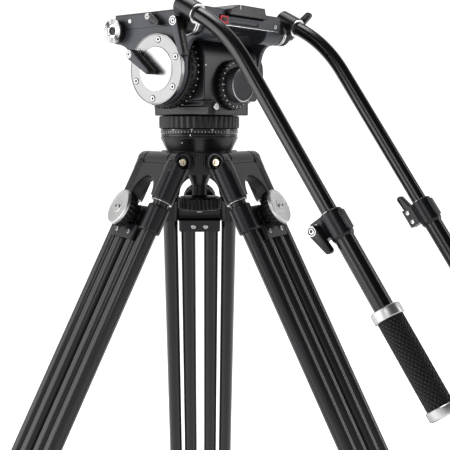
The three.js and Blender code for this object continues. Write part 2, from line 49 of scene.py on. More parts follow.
# Driving sizes in millimetres. Head sizes are in the head's own frame, handle sizes along the handle
OUTER_X = 36.3
INNER_X = 14.2
TILT_Z = 89.1
HOUSING_REAR = 47.5
HOUSING_HALF = 46.0
CHEEK_IN = 60.0
CHEEK_OUT = 66.0
DISC_R = 38.0
PLATFORM_BOTTOM = 134.0
PLATFORM_TOP = 151.0
FRONT_ROSETTE = (-62.0, 133.0)
REAR_ROSETTE = (52.0, 134.0)
DIAL_Z = 73.0
COLLAR_S = 129.0
COLLAR_END_S = 155.0
GRIP_S = 229.0
GRIP_END_S = 334.0
LENGTH_HUB = (-19.0, -136.5)
LENGTH_LEVER_Y = 10.0
BOTH = (-1, 1)

# Crown and legs
LEG_AZIMUTHS = (0, 120, -120)
LUG_OUT = 46.0
LUG_Z = -10.7
TUBE_HOLE = 9.4
LEG_LENGTH = 774.7
LEG_SPREAD = math.radians(27.15)
BRACKET_TOP = -53
BRACKET_BOTTOM = -83
KNOB_Z = -68
GUIDE_TOP = -668
GUIDE_BOTTOM = -704

# Head: drag ring, the disc's screws, the tilt lever's ends and the bubble level
TILT_RING_R = 41.3
SCREW_R = 31.5
SCREW_TURN = 22.0
LEVEL_SPOT = (-27.0, 49.5)
TILT_HUB = (-26.2, TILT_Z + 16.2)
TILT_TIP = (0.0, TILT_Z - 3)

# Handles: S runs down the straight part of the tube
HANDLE_Y = 87.0
HANDLE_TILT = math.radians(35.3)
HANDLE_START = (159.5, 54.5)
COVER_START = (53.0, 151.0)
BEND_START = (80.0, 137.1)
BEND_CORNER = (112.8, 120.2)
BEND_END_S = -42.6
UPPER_END_S = 309.0
UPPER_R = 7.6
LOWER_R = 9.3
COVER_R = 10.8
COVER_LENGTH = 23.6
COLLAR_R = 11.0
GRIP_R = 12.4
GRIP_RING_R = 14.3
COVER_TILT = math.atan2(COVER_START[1] - BEND_START[1], BEND_START[0] - COVER_START[0])

# Camera and room: the world's shares of white, and how far up the pale wall reaches
CAMERA_OFFSET = Vector((0.0013, -1.0437, 0.0248))
CAMERA_TILT = 84.0
CAMERA_YAW = -1.54
CAMERA_LENS = 72.8
ROOM_DARK_END = 0.60
ROOM_BRIGHT_START = 0.86
ROOM_DIM = 0.05
ROOM_WALL = 0.72
ROOM_WALL_TOP = 0.26
ROOM_STRENGTH = 1.1
DISPLAY_GAMMA = 0.8


# ---------------------------------------------------------------- local frames
def local_frame(origin, x, y, z):
    """Millimetres in a part's own axes to metres in the row frame."""
    turn = Matrix((x, y, z)).transposed().to_4x4()
    return Matrix.Translation(origin) @ turn @ Matrix.Scale(MM, 4)


UP = Vector((0, 0, 1))
rim_centre = Vector(joints["bowl_level"]["pos_m"])
head_y = Vector(joints["tilt"]["axis"]).normalized()
HEAD = local_frame(rim_centre, head_y.cross(UP), head_y, UP)
CROWN = local_frame(rim_centre, Vector((1, 0, 0)), Vector((0, 1, 0)), UP)


def leg_frame(side):
    x = Vector(joints[f"{side}_leg_fold"]["axis"]).normalized()
    z = -Vector(joints[f"{side}_leg_length"]["axis"]).normalized()
    return local_frame(Vector(joints[f"{side}_leg_fold"]["pos_m"]), x, z.cross(x), z)


def handle_frame(letter):
    z = -Vector(joints[f"handle_{letter}_length"]["axis"]).normalized()
    turned = local_frame(Vector(), head_y.cross(z), head_y, z)
    lever_hub = Vector((LENGTH_HUB[0], LENGTH_LEVER_Y * HANDLES[letter], LENGTH_HUB[1]))
    origin = Vector(joints[f"length_lock_{letter}"]["pos_m"]) - turned @ lever_hub
    return Matrix.Translation(origin) @ turned


LEG = {side: leg_frame(side) for side in SIDES}
HANDLE = {letter: handle_frame(letter) for letter in HANDLES}


# ---------------------------------------------------------------- camera
camera_data = bpy.data.cameras.new("camera")
camera_data.sensor_width = 36.0
camera_data.lens = CAMERA_LENS
camera = bpy.data.objects.new("camera", camera_data)
camera.location = rim_centre + CAMERA_OFFSET
camera.rotation_euler = (math.radians(CAMERA_TILT), 0, math.radians(CAMERA_YAW))
bpy.context.scene.collection.objects.link(camera)
bpy.context.scene.camera = camera


# ---------------------------------------------------------------- material helpers
class Nodes:
    """A short way to write a node tree around one Principled shader."""

    def __init__(self, name):
        self.material = bpy.data.materials.new(name)
        self.material.use_nodes = True
        self.tree = self.material.node_tree
        self.shader = self.tree.nodes["Principled BSDF"]

    def add(self, kind, **values):
        node = self.tree.nodes.new(kind)
        for key, value in values.items():
            if hasattr(node, key):
                setattr(node, key, value)
            else:
                node.inputs[key.replace("_", " ")].default_value = value
        return node

    def link(self, output, target):
        self.tree.links.new(output, target)

    def coords(self, kind="Object", scale=(1, 1, 1)):
        source = self.add("ShaderNodeTexCoord")
        mapping = self.add("ShaderNodeMapping")
        mapping.inputs["Scale"].default_value = scale
        self.link(source.outputs[kind], mapping.inputs["Vector"])
        return mapping.outputs["Vector"]

    def noise(self, vector, scale, detail=4.0, roughness=0.6):
        node = self.add("ShaderNodeTexNoise", Scale=scale, Detail=detail, Roughness=roughness)
        self.link(vector, node.inputs["Vector"])
        return node.outputs["Fac"]

    def ramp(self, value, stops):
        node = self.add("ShaderNodeValToRGB")
        elements = node.color_ramp.elements
        while len(elements) < len(stops):
            elements.new(0.5)
        for element, (position, colour) in zip(elements, stops):
            element.position = position
            element.color = (*colour, 1)
        self.link(value, node.inputs["Fac"])
        return node.outputs["Color"]

    def span(self, value, low, high):
        node = self.add("ShaderNodeMapRange")
        node.inputs["To Min"].default_value = low
        node.inputs["To Max"].default_value = high
        self.link(value, node.inputs["Value"])
        return node.outputs["Result"]

    def mix(self, factor, first, second):
        node = self.add("ShaderNodeMix", data_type="RGBA")
        for socket, source in ((node.inputs[0], factor), (node.inputs[6], first), (node.inputs[7], second)):
            if isinstance(source, (tuple, float)):
                socket.default_value = source if isinstance(source, float) else (*source, 1)
            else:
                self.link(source, socket)
        return node.outputs[2]

    def math(self, operation, first, second=0.0):
        node = self.add("ShaderNodeMath", operation=operation)
        for socket, source in ((node.inputs[0], first), (node.inputs[1], second)):
            if isinstance(source, (float, int)):
                socket.default_value = source
            else:
                self.link(source, socket)
        return node.outputs[0]

    def bump(self, height, strength, distance=0.0002, normal=None):
        node = self.add("ShaderNodeBump", Strength=strength, Distance=distance)
        self.link(height, node.inputs["Height"])
        if normal is not None:
            self.link(normal, node.inputs["Normal"])
        return node.outputs["Normal"]

    def set(self, name, value):
        socket = self.shader.inputs[name]
        if isinstance(value, (float, int)):
            socket.default_value = value
        elif isinstance(value, tuple):
            socket.default_value = (*value, 1) if len(value) == 3 else value
        else:
            self.link(value, socket)


def worn_colour(m, base, bright, amount=0.6):
    """The base colour, mottled a little, and rubbed brighter along its edges."""
    vector = m.coords()
    mottled = m.mix(m.noise(vector, 90.0), base, tuple(c * 1.5 for c in base))
    geometry = m.add("ShaderNodeNewGeometry")
    edge = m.ramp(geometry.outputs["Pointiness"], [(0.56, (0, 0, 0)), (0.70, (amount,) * 3)])
    patchy = m.math("MULTIPLY", edge, m.noise(vector, 260.0))
    return m.mix(patchy, mottled, bright)


def cast_metal(name, base=(0.0070, 0.0074, 0.0098), roughness=(0.28, 0.36), grain=1400.0):
    m = Nodes(name)
    vector = m.coords()
    m.set("Base Color", worn_colour(m, base, (0.06, 0.06, 0.066)))
    m.set("Roughness", m.span(m.noise(vector, 60.0), *roughness))
    m.set("Metallic", 0.0)
    m.set("Specular IOR Level", 0.6)
    fine = m.noise(vector, grain, 2.0)
    m.set("Normal", m.bump(fine, 0.22, 0.00008))
    return m.material


def moulded_plastic(name, base=(0.007, 0.007, 0.008), roughness=(0.34, 0.48)):
    m = Nodes(name)
    vector = m.coords()
    m.set("Base Color", worn_colour(m, base, (0.06, 0.06, 0.065), 0.4))
    m.set("Roughness", m.span(m.noise(vector, 120.0), *roughness))
    m.set("Normal", m.bump(m.noise(vector, 2200.0, 2.0), 0.25, 0.00008))
    return m.material


def anodised(name, base=(0.005, 0.0053, 0.0065)):
    """Drawn tube: faint streaks that run along it."""
    m = Nodes(name)
    streak = m.noise(m.coords("UV", (20.0, 0.01, 1.0)), 2.0, 2.0)
    m.set("Base Color", m.mix(streak, base, tuple(c * 1.7 for c in base)))
    m.set("Metallic", 0.0)
    m.set("Specular IOR Level", 0.8)
    m.set("Roughness", m.span(streak, 0.21, 0.25))
    m.set("Normal", m.bump(m.noise(m.coords(), 900.0, 2.0), 0.01, 0.00001))
    return m.material


def carbon_weave(name):
    """Twill cloth under lacquer: UV runs round the tube in turns and along it in millimetres."""
    m = Nodes(name)
    tows_round = 56.0
    tow_mm = 1.0
    vector = m.coords("UV", (tows_round, 1.0 / tow_mm, 1.0))
    split = m.add("ShaderNodeSeparateXYZ")
    m.link(vector, split.inputs[0])
    across = m.math("FLOOR", split.outputs["X"])
    along = m.math("FLOOR", split.outputs["Y"])
    phase = m.math("FLOORED_MODULO", m.math("ADD", across, along), 4.0)
    over = m.math("LESS_THAN", phase, 2.0)
    round_x = m.math("PINGPONG", split.outputs["X"], 0.5)
    round_y = m.math("PINGPONG", split.outputs["Y"], 0.5)
    height = m.math("ADD", m.math("MULTIPLY", over, round_x),
                    m.math("MULTIPLY", m.math("SUBTRACT", 1.0, over), round_y))
    thread = m.noise(m.coords("UV", (tows_round * 6, 2.5, 1.0)), 3.0, 2.0)
    tone = m.math("ADD", m.math("MULTIPLY", over, 0.55), m.math("MULTIPLY", thread, 0.35))
    m.set("Base Color", m.mix(tone, (0.002, 0.002, 0.0025), (0.026, 0.027, 0.032)))
    m.set("Specular IOR Level", 0.5)
    m.set("Roughness", m.span(over, 0.30, 0.38))
    m.set("Coat Weight", 0.5)
    m.set("Coat Roughness", 0.12)
    m.set("Normal", m.bump(height, 0.25, 0.00006))
    return m.material


def bright_metal(name, base=(0.80, 0.80, 0.81), roughness=(0.10, 0.20), axis_frame=None, turned=900.0):
    """Machined aluminium. With an axis frame, fine turning marks run round that axis."""
    m = Nodes(name)
    vector = m.coords()
    m.set("Base Color", m.mix(m.noise(vector, 45.0), base, tuple(c * 0.93 for c in base)))
    m.set("Metallic", 1.0)
    m.set("Roughness", m.span(m.noise(vector, 70.0), *roughness))
    if axis_frame is None:
        m.set("Normal", m.bump(m.noise(vector, 900.0), 0.05, 0.00005))
        return m.material
    centre, axis = axis_frame
    offset = m.add("ShaderNodeVectorMath", operation="SUBTRACT")
    m.link(vector, offset.inputs[0])
    offset.inputs[1].default_value = centre
    cross = m.add("ShaderNodeVectorMath", operation="CROSS_PRODUCT")
    m.link(offset.outputs[0], cross.inputs[0])
    cross.inputs[1].default_value = axis
    radius = m.add("ShaderNodeVectorMath", operation="LENGTH")
    m.link(cross.outputs[0], radius.inputs[0])
    rings = m.math("SINE", m.math("MULTIPLY", radius.outputs["Value"], turned * 2 * math.pi))
    m.set("Normal", m.bump(rings, 0.04, 0.00003))
    return m.material


def rubber_material(name, base=(0.012, 0.012, 0.0125), roughness=(0.5, 0.68)):
    m = Nodes(name)
    vector = m.coords()
    m.set("Base Color", worn_colour(m, base, (0.05, 0.05, 0.052), 0.5))
    m.set("Roughness", m.span(m.noise(vector, 150.0), *roughness))
    m.set("Normal", m.bump(m.noise(vector, 1800.0, 3.0), 0.35, 0.00012))
    return m.material


def paint(name, colour, roughness=0.45):
    m = Nodes(name)
    vector = m.coords()
    m.set("Base Color", m.mix(m.noise(vector, 500.0), colour, tuple(c * 0.85 for c in colour)))
    m.set("Roughness", m.span(m.noise(vector, 300.0), roughness - 0.08, roughness + 0.1))
    m.set("Normal", m.bump(m.noise(vector, 3000.0, 2.0), 0.15, 0.00004))
    return m.material


disc_centre = HEAD @ Vector((0, -CHEEK_OUT, TILT_Z))
CAST = cast_metal("black_cast_metal")
# Painted light: a lighter copy of the cast metal, standing in for the left softbox's sheen on the cradle's
# sides and on the levers' outer faces.
CAST_PAINTED_LIT = cast_metal("cast_metal_painted_lit", (0.042, 0.044, 0.054), (0.36, 0.44))
MACHINED = cast_metal("black_machined_metal", (0.008, 0.008, 0.009), (0.22, 0.34), 2600.0)
PLASTIC = moulded_plastic("black_moulded_plastic")
KNURL = moulded_plastic("knurled_plastic", (0.008, 0.008, 0.009), (0.26, 0.38))
CAP_GREY = moulded_plastic("dial_cap_grey", (0.030, 0.031, 0.035), (0.36, 0.46))
TUBE = anodised("black_anodised_tube")
CARBON = carbon_weave("carbon_weave")
BRIGHT = bright_metal("bright_metal", (0.66, 0.66, 0.66), (0.22, 0.34))
MIRROR = bright_metal("turned_disc_metal", (0.27, 0.27, 0.27), (0.26, 0.34), (disc_centre, head_y))
MIRROR_CENTRE = bright_metal("polished_disc_metal", (0.40, 0.40, 0.395), (0.22, 0.30), (disc_centre, head_y))
STEEL = bright_metal("screw_steel", (0.55, 0.55, 0.56), (0.24, 0.36))
BRASS = bright_metal("screw_brass", (0.58, 0.52, 0.43), (0.22, 0.35))
RUBBER = rubber_material("black_rubber")
GRIP = rubber_material("grip_rubber", (0.010, 0.010, 0.012), (0.30, 0.46))
SATIN = bright_metal("satin_aluminium", (0.62, 0.62, 0.615), (0.34, 0.44))
WHITE = paint("white_paint", (0.85, 0.85, 0.83))
RED = paint("red_plastic", (0.55, 0.015, 0.035), 0.35)
VIAL = paint("level_vial", (0.80, 0.82, 0.78), 0.2)


# ---------------------------------------------------------------- mesh helpers
def new_mesh():
    mesh = bmesh.new()
    mesh.loops.layers.uv.new("UVMap")
    return mesh


def ring_faces(bm, rings, lengths=None):
    """Quads between rings of vertices; a ring of one vertex is a pole."""
    uv = bm.loops.layers.uv.active
    for row in range(len(rings) - 1):
        low, high = rings[row], rings[row + 1]
        count = max(len(low), len(high))
        if count == 1:
            continue
        for i in range(count):
            j = (i + 1) % count
            corners = []
            for ring, k, u in ((low, i, i), (low, j, i + 1), (high, j, i + 1), (high, i, i)):
                vert = ring[k if len(ring) > 1 else 0]
                v = lengths[row + (ring is high)] if lengths else 0.0
                if not corners or vert is not corners[-1][0]:
                    corners.append((vert, (u / count, v)))
            if corners[0][0] is corners[-1][0]:
                corners.pop()
            face = bm.faces.new([vert for vert, _ in corners])
            for loop, (_, where) in zip(face.loops, corners):
                loop[uv].uv = where


def lathe(bm, profile, segments=64, place=Matrix.Identity(4), closed=False):
    """A profile of (radius, z) turned about Z. A closed profile makes a ring."""
    points = list(profile) + ([profile[0]] if closed else [])
    rings = []
    lengths = [0.0]
    for index, (radius, z) in enumerate(points):
        if index:
            before = points[index - 1]
            lengths.append(lengths[-1] + math.hypot(radius - before[0], z - before[1]))
        if closed and index == len(points) - 1:
            rings.append(rings[0])
        elif radius < 1e-6:
            rings.append([bm.verts.new(place @ Vector((0, 0, z)))])
        else:
            angles = [2 * math.pi * i / segments for i in range(segments)]
            rings.append([bm.verts.new(place @ polar(radius, a, z))
                          for a in angles])
    ring_faces(bm, rings, lengths=lengths)


def rod(bm, radius, z0, z1, segments=48, place=Matrix.Identity(4), top=None, chamfer=0.0):
    top = radius if top is None else top
    c = chamfer
    profile = [(0, z0), (radius - c, z0), (radius, z0 + c), (top, z1 - c), (top - c, z1), (0, z1)]
    if not c:
        profile = [(0, z0), (radius, z0), (top, z1), (0, z1)]
    lathe(bm, profile, segments, place)


def box(bm, low, high, place=Matrix.Identity(4)):
    result = bmesh.ops.create_cube(bm, size=1.0)
    size = [h - l for l, h in zip(low, high)]
    middle = [(l + h) / 2 for l, h in zip(low, high)]
    for vert in result["verts"]:
        vert.co = place @ Vector([m + c * s for m, c, s in zip(middle, vert.co, size)])


AXES = {
    "xy": Matrix.Identity(4),
    "xz": Matrix(((1, 0, 0, 0), (0, 0, -1, 0), (0, 1, 0, 0), (0, 0, 0, 1))),
    "yz": Matrix(((0, 0, 1, 0), (1, 0, 0, 0), (0, 1, 0, 0), (0, 0, 0, 1))),
}


def at(x, y, z):
    return Matrix.Translation((x, y, z))


def turned(degrees, axis="Z"):
    return Matrix.Rotation(math.radians(degrees), 4, axis)


def turns(count, first=0.0):
    """Evenly spaced turns about Z."""
    return [turned(index * (360 // count) + first) for index in range(count)]


def mirrored(side, near, far):
    """The low and high ends of a span, mirrored to a side."""
    return sorted((side * near, side * far))


def polar(radius, angle, z):
    return Vector((radius * math.cos(angle), radius * math.sin(angle), z))


# Turns that face a piece made along +Z toward +X, -X, +Y and -Y
ON_X = AXES["yz"]
ON_X_BACK = turned(180) @ ON_X
ON_Y = turned(-90, "X")
NEAR_SIDE = turned(90, "X")


def prism(bm, outline, low, high, plane="xy", place=Matrix.Identity(4)):
    """An outline in a plane, given thickness along the third axis from low to high."""
    turn = place @ AXES[plane]
    flip = -1 if plane == "xz" else 1
    rows = [[bm.verts.new(turn @ Vector((x, y, flip * depth))) for x, y in outline]
            for depth in (low, high)]
    ring_faces(bm, rows)
    bm.faces.new(rows[0][::-1])
    bm.faces.new(rows[1])


def arc(cx, cy, radius, start, end, steps=24):
    """Points on an arc, with its angles in degrees."""
    angles = [math.radians(start + (end - start) * i / steps) for i in range(steps + 1)]
    return [(cx + radius * math.cos(a), cy + radius * math.sin(a)) for a in angles]


def curve(start, control, end, steps=16):
    points = []
    for i in range(1, steps):
        t = i / steps
        points.append(tuple((1 - t) ** 2 * s + 2 * t * (1 - t) * c + t * t * e
                            for s, c, e in zip(start, control, end)))
    return points


def rounded(x0, y0, x1, y1, r):
    return (arc(x1 - r, y0 + r, r, -90, 0, 8) + arc(x1 - r, y1 - r, r, 0, 90, 8)
            + arc(x0 + r, y1 - r, r, 90, 180, 8) + arc(x0 + r, y0 + r, r, 180, 270, 8))


def lever_outline(hub, hub_r, tip, tip_r, steps=20):
    angle = math.degrees(math.atan2(tip[1] - hub[1], tip[0] - hub[0]))
    side = math.degrees(math.acos((hub_r - tip_r) / math.dist(hub, tip)))
    return (arc(*hub, hub_r, angle + side, angle - side + 360, steps)
            + arc(*tip, tip_r, angle - side, angle + side, steps))


def fluted_ring(bm, radius, depth, flutes, z0, z1, bevel=0.8, inner=0.0, place=Matrix.Identity(4)):
    """A knurled band with its flutes running out in rounded ends."""
    low_r = radius - depth - bevel
    step_r = radius - depth * 0.3
    levels = [(z0, inner, 0), (z0, low_r, 0), (z0 + bevel, step_r, 0.6), (z0 + 2 * bevel, radius, 1),
              (z1 - 2 * bevel, radius, 1), (z1 - bevel, step_r, 0.6), (z1, low_r, 0), (z1, inner, 0)]
    steps = 10
    total = flutes * steps
    rings = []
    for z, r, share in levels:
        if r < 1e-6:
            rings.append([bm.verts.new(place @ Vector((0, 0, z)))])
            continue
        ring = []
        for i in range(total):
            wave = (0.5 - 0.5 * math.cos(2 * math.pi * i / steps)) ** 1.5
            rr = r - depth * wave * share
            angle = 2 * math.pi * i / total
            ring.append(bm.verts.new(place @ polar(rr, angle, z)))
        rings.append(ring)
    if inner:
        rings.append(rings[0])
    ring_faces(bm, rings)


def hex_socket_screw(bm, radius, height, place, socket=0.5):
    """A round screw head with a hexagonal socket. It stands on Z = 0 and faces +Z."""
    c = radius * 0.14
    segments = 36
    hexagon = []
    for i in range(segments):
        angle = 2 * math.pi * i / segments
        corner = math.cos(math.pi / 6) / math.cos((angle % (math.pi / 3)) - math.pi / 6)
        hexagon.append(radius * socket * corner)
    rings = [[bm.verts.new(place @ Vector((0, 0, 0)))]]
    rim = radius * (socket + 0.08)
    for r, z in ((radius, 0), (radius, height - c), (radius - c, height), (rim, height)):
        rings.append([bm.verts.new(place @ polar(r, 2 * math.pi * i / segments, z))
                      for i in range(segments)])
    for z in (height - 0.1, height * 0.35):
        rings.append([bm.verts.new(place @ polar(hexagon[i], 2 * math.pi * i / segments, z))
                      for i in range(segments)])
    rings.append([bm.verts.new(place @ Vector((0, 0, height * 0.3)))])
    ring_faces(bm, rings)


def sweep(bm, points, radius, segments=32):
    """A round bar along points that lie in one XZ plane."""
    rings = []
    lengths = []
    total = 0.0
    for index, point in enumerate(points):
        before = points[max(index - 1, 0)]
        after = points[min(index + 1, len(points) - 1)]
        along = (after - before).normalized()
        side = Vector((0, 1, 0))
        normal = along.cross(side)
        total += (point - before).length
        lengths.append(total)
        angles = [2 * math.pi * i / segments for i in range(segments)]
        rings.append([bm.verts.new(point + radius * (math.cos(a) * side + math.sin(a) * normal))
                      for a in angles])
    ring_faces(bm, rings, lengths=lengths)
    bm.faces.new(rings[0][::-1])
    bm.faces.new(rings[-1])


# ---------------------------------------------------------------- pieces
def to_object(name, bm):
    bmesh.ops.recalc_face_normals(bm, faces=bm.faces)
    mesh = bpy.data.meshes.new(name)
    bm.to_mesh(mesh)
    bm.free()
    piece = bpy.data.objects.new(name, mesh)
    bpy.context.scene.collection.objects.link(piece)
    return piece


def settle(piece, place, material, body, replaced=(), smooth=35):
    piece.data.transform(place)
    piece.data.materials.clear()
    piece.data.materials.append(material)
    piece.data.shade_smooth()
    if smooth:
        piece.data.set_sharp_from_angle(angle=math.radians(smooth))
    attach(piece, body)
    if replaced:
        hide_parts(*replaced)
    return piece


def piece(name, build, place, material, body, replaced=(), slot=None, smooth=35, bevel=0.0):
    """A piece whose mesh is made by build(bm) in a part's own millimetres."""
    bm = new_mesh()
    build(bm)
    made = to_object(name, bm)
    if bevel:
        modifier = made.modifiers.new("edges", "BEVEL")
        modifier.width = bevel
        modifier.segments = 2
        modifier.limit_method = "ANGLE"
        modifier.angle_limit = math.radians(40)
        apply_modifiers(made)
    return settle(made, place, material, body, replaced, smooth)


def apply_modifiers(made):
    graph = bpy.context.evaluated_depsgraph_get()
    result = bpy.data.meshes.new_from_object(made.evaluated_get(graph))
    old = made.data
    made.modifiers.clear()
    made.data = result
    result.name = made.name
    bpy.data.meshes.remove(old)


def casting(name, add, cut, place, material, body, replaced=(), voxel=0.7, passes=4):
    """Overlapping forms run together and softened at their edges, as a cast part is."""
    voxel = voxel
    bm = new_mesh()
    add(bm)
    made = to_object(name, bm)
    cutter = None
    if cut:
        bm = new_mesh()
        cut(bm)
        cutter = to_object(name + "_cutter", bm)
        modifier = made.modifiers.new("cut", "BOOLEAN")
        modifier.operation = "DIFFERENCE"
        modifier.solver = "EXACT"
        modifier.use_self = True
        modifier.object = cutter
    fuse = made.modifiers.new("fuse", "REMESH")
    fuse.mode = "VOXEL"
    fuse.voxel_size = voxel
    soften = made.modifiers.new("soften", "SMOOTH")
    soften.factor = 0.5
    soften.iterations = passes
    apply_modifiers(made)
    if cutter:
        bpy.data.objects.remove(cutter)
    return settle(made, place, material, body, replaced, smooth=0)


def number_mesh(text, size, depth=0.25):
    """The generic figures of a scale, as a flat raised mesh in the XY plane."""
    data = bpy.data.curves.new("figure", "FONT")
    data.body = text
    data.size = size
    data.extrude = depth
    data.align_x = "CENTER"
    data.align_y = "CENTER"
    data.resolution_u = 3
    figure = bpy.data.objects.new("figure", data)
    bpy.context.scene.collection.objects.link(figure)
    bpy.context.view_layer.update()
    mesh = bpy.data.meshes.new_from_object(figure.evaluated_get(bpy.context.evaluated_depsgraph_get()))
    bpy.data.objects.remove(figure)
    bpy.data.curves.remove(data)
    return mesh


def add_number(bm, text, size, place):
    mesh = number_mesh(text, size)
    mesh.transform(place)
    bm.from_mesh(mesh)
    bpy.data.meshes.remove(mesh)


# ---------------------------------------------------------------- crown and legs
def crown_cast(bm):
    profile = [(39.6, -0.2), (40.0, 0), (40.8, 0), (41.2, -0.4), (41.2, -2.4), (40.8, -2.8), (38.8, -3.4),
               (38.5, -4.2), (38.5, -19.5), (37.4, -21.5), (33.0, -21.5)]
    seat = [(math.sqrt(38.3 ** 2 - z ** 2), z) for z in (-20, -17, -14, -11, -8, -5, -2.5)]
    lathe(bm, profile + seat, 128, closed=True)
    for azimuth in LEG_AZIMUTHS:
        turn = turned(azimuth)
        rod(bm, 11, -27.3, 27.3, 48, turn @ at(0, LUG_OUT, LUG_Z) @ ON_X, chamfer=0.8)
        box(bm, (-26.8, 37.5, -14), (26.8, 46, -1.6), turn)
        box(bm, (-25, 37.0, -20), (25, 42, -13), turn)


def crown_cut(bm):
    rod(bm, 38.1, -40, 5, 96)


def crown_pins(bm):
    for azimuth in LEG_AZIMUTHS:
        turn = turned(azimuth)
        rod(bm, 4, -42.6, 42.6, 32, turn @ at(0, LUG_OUT, LUG_Z) @ ON_X, chamfer=0.5)


def crown_screws(bm):
    for azimuth in LEG_AZIMUTHS:
        turn = turned(azimuth)
        for side in (-1, 1):
            facing = ON_X if side > 0 else ON_X_BACK
            hex_socket_screw(bm, 4.4, 1.6, turn @ at(side * 42.4, LUG_OUT, LUG_Z) @ facing, 0.52)


casting("crown_casting", crown_cast, crown_cut, CROWN, CAST, "crown", ["crown"], voxel=0.6)
piece("crown_hinge_pins", crown_pins, CROWN, STEEL, "crown", slot="black_casting")
piece("crown_hinge_screws", crown_screws, CROWN, BRASS, "crown", slot="black_casting", smooth=30)


# Each leg is modelled in its own frame: X across it, Y outward, -Z down from the hinge
def shoulder_add(bm):
    for side in BOTH:
        low, high = mirrored(side, 28, 45)
        rod(bm, 11, low, high, 48, ON_X, chamfer=1.0)
        rod(bm, 12.3, -47.5, -2, 48, at(side * OUTER_X, 0, 0), chamfer=1.0)
        box(bm, (side * OUTER_X - 7.5, -10.8, -14), (side * OUTER_X + 7.5, 10.8, 0))
    prism(bm, [(-34, -4), (34, -4), (34, -44)] + arc(0, -46, 24, 5, 175) + [(-34, -44)], -2.6, 10.2, "xz")


def shoulder_cut(bm):
    rod(bm, 11.7, -27.7, 27.7, 48, ON_X)
    rod(bm, 4.4, -60, 60, 24, ON_X)
    for side in BOTH:
        rod(bm, TUBE_HOLE, -70, -18, 40, at(side * OUTER_X, 0, 0))
        low, high = mirrored(side, 41, 60)
        rod(bm, 7.2, low, high, 40, ON_X)


def socket_rings(bm):
    """The machined rings at the lower ends of the shoulder's two sockets."""
    for side in BOTH:
        profile = [(9.4, -47.2), (11.6, -47.2), (11.9, -47.5), (11.9, -48.1), (11.6, -48.4), (9.4, -48.4)]
        lathe(bm, profile, 64, at(side * OUTER_X, 0, 0), closed=True)


def outer_tubes(side_index):
    def build(bm):
        x = BOTH[side_index] * OUTER_X
        profile = [(7.5, -18.3), (9, -18.3), (9, -699.5), (8.6, -700), (7.5, -700)]
        lathe(bm, profile, 64, at(x, 0, 0), closed=True)
    return build


def inner_tubes(side_index):
    def build(bm):
        x = BOTH[side_index] * INNER_X
        profile = [(7.5, -86), (9, -86), (9, -752), (7.5, -752)]
        lathe(bm, profile, 64, at(x, 0, 0), closed=True)
    return build


def bracket_add(bm):
    for side in BOTH:
        rod(bm, 12, BRACKET_BOTTOM, BRACKET_TOP, 48, at(side * OUTER_X, 0, 0), chamfer=1.0)
    box(bm, (-OUTER_X, -4.8, BRACKET_BOTTOM), (OUTER_X, 4.8, BRACKET_TOP - 3))
    prism(bm, rounded(-25.4, -11.4, 25.4, 11.4, 3), -97, BRACKET_BOTTOM + 3)
    rod(bm, 11, 4, 13, 48, at(0, 0, KNOB_Z) @ ON_Y, chamfer=0.8)
    box(bm, (-8, 2, -86), (8, 10.5, KNOB_Z))


def bracket_cut(bm):
    for side in BOTH:
        rod(bm, TUBE_HOLE, -120, 0, 40, at(side * OUTER_X, 0, 0))
        rod(bm, TUBE_HOLE, -120, -85.6, 40, at(side * INNER_X, 0, 0))


def bracket_trim(bm):
    """The screws on both faces of the bracket's inner block."""
    for side in BOTH:
        hex_socket_screw(bm, 3.0, 1.2, at(side * 7.5, -11.2, -89) @ NEAR_SIDE)
        hex_socket_screw(bm, 3.0, 1.2, at(side * INNER_X, 11.2, -89) @ ON_Y)


def knob_grip(bm):
    fluted_ring(bm, 20, 1.1, 22, 15.5, 25.2, 0.6)
    lathe(bm, [(0, 13.3), (8.8, 13.3), (9, 13.6), (9, 16), (0, 16)], 48)


def knob_face(bm):
    profile = [(0, 25.1), (20.1, 25.1), (20.3, 25.3), (20.3, 26.4), (19.4, 28.5), (18.9, 28.8),
               (18.3, 28.85), (17.9, 28.7), (7.4, 28.6), (7.0, 28.85), (0, 28.85)]
    lathe(bm, profile, 96)


def knob_slot(bm):
    prism(bm, rounded(-6.2, -1.5, 6.2, 1.5, 1.4), 28.5, 28.95)
    fluted_ring(bm, 19.9, 0.5, 36, 24.6, 25.6, 0.1)


def knob_screw(bm):
    lathe(bm, [(0, 28.7), (3.0, 28.7), (3.0, 29.2), (2.6, 29.4), (0, 29.4)], 36)


def guide_add(bm):
    for side in BOTH:
        rod(bm, 12, GUIDE_BOTTOM, GUIDE_TOP, 48, at(side * OUTER_X, 0, 0), chamfer=1.2)
        low, high = mirrored(side, 5, 36)
        box(bm, (low, -11.4, GUIDE_BOTTOM + 0.8), (high, 11.4, GUIDE_TOP - 0.8))
    box(bm, (-7, -6.8, GUIDE_BOTTOM + 1), (7, 6.8, GUIDE_TOP - 1))


def guide_cut(bm):
    for side in BOTH:
        rod(bm, TUBE_HOLE, -699.8, -600, 40, at(side * OUTER_X, 0, 0))
        rod(bm, TUBE_HOLE, -800, -600, 40, at(side * INNER_X, 0, 0))


def foot_add(bm):
    for side in BOTH:
        rod(bm, 11, -760, -728, 48, at(side * 13, 0, 0), chamfer=1.2)
    box(bm, (-13, -10.6, -759), (13, 10.6, -729))
    rod(bm, 9, -782, -750, 48, top=13)
    standing = at(0, 0, -LEG_LENGTH) @ Matrix.Rotation(-LEG_SPREAD, 4, "X")
    lathe(bm, [(0, 0.15), (18.8, 0.15), (20.9, 2), (20.9, 6), (12, 15), (0, 16)], 64, standing)


def foot_cut(bm):
    standing = at(0, 0, -LEG_LENGTH) @ Matrix.Rotation(-LEG_SPREAD, 4, "X")
    box(bm, (-60, -60, -60), (60, 60, 0.1), standing)
    for side in BOTH:
        rod(bm, TUBE_HOLE, -752.2, -700, 40, at(side * INNER_X, 0, 0))


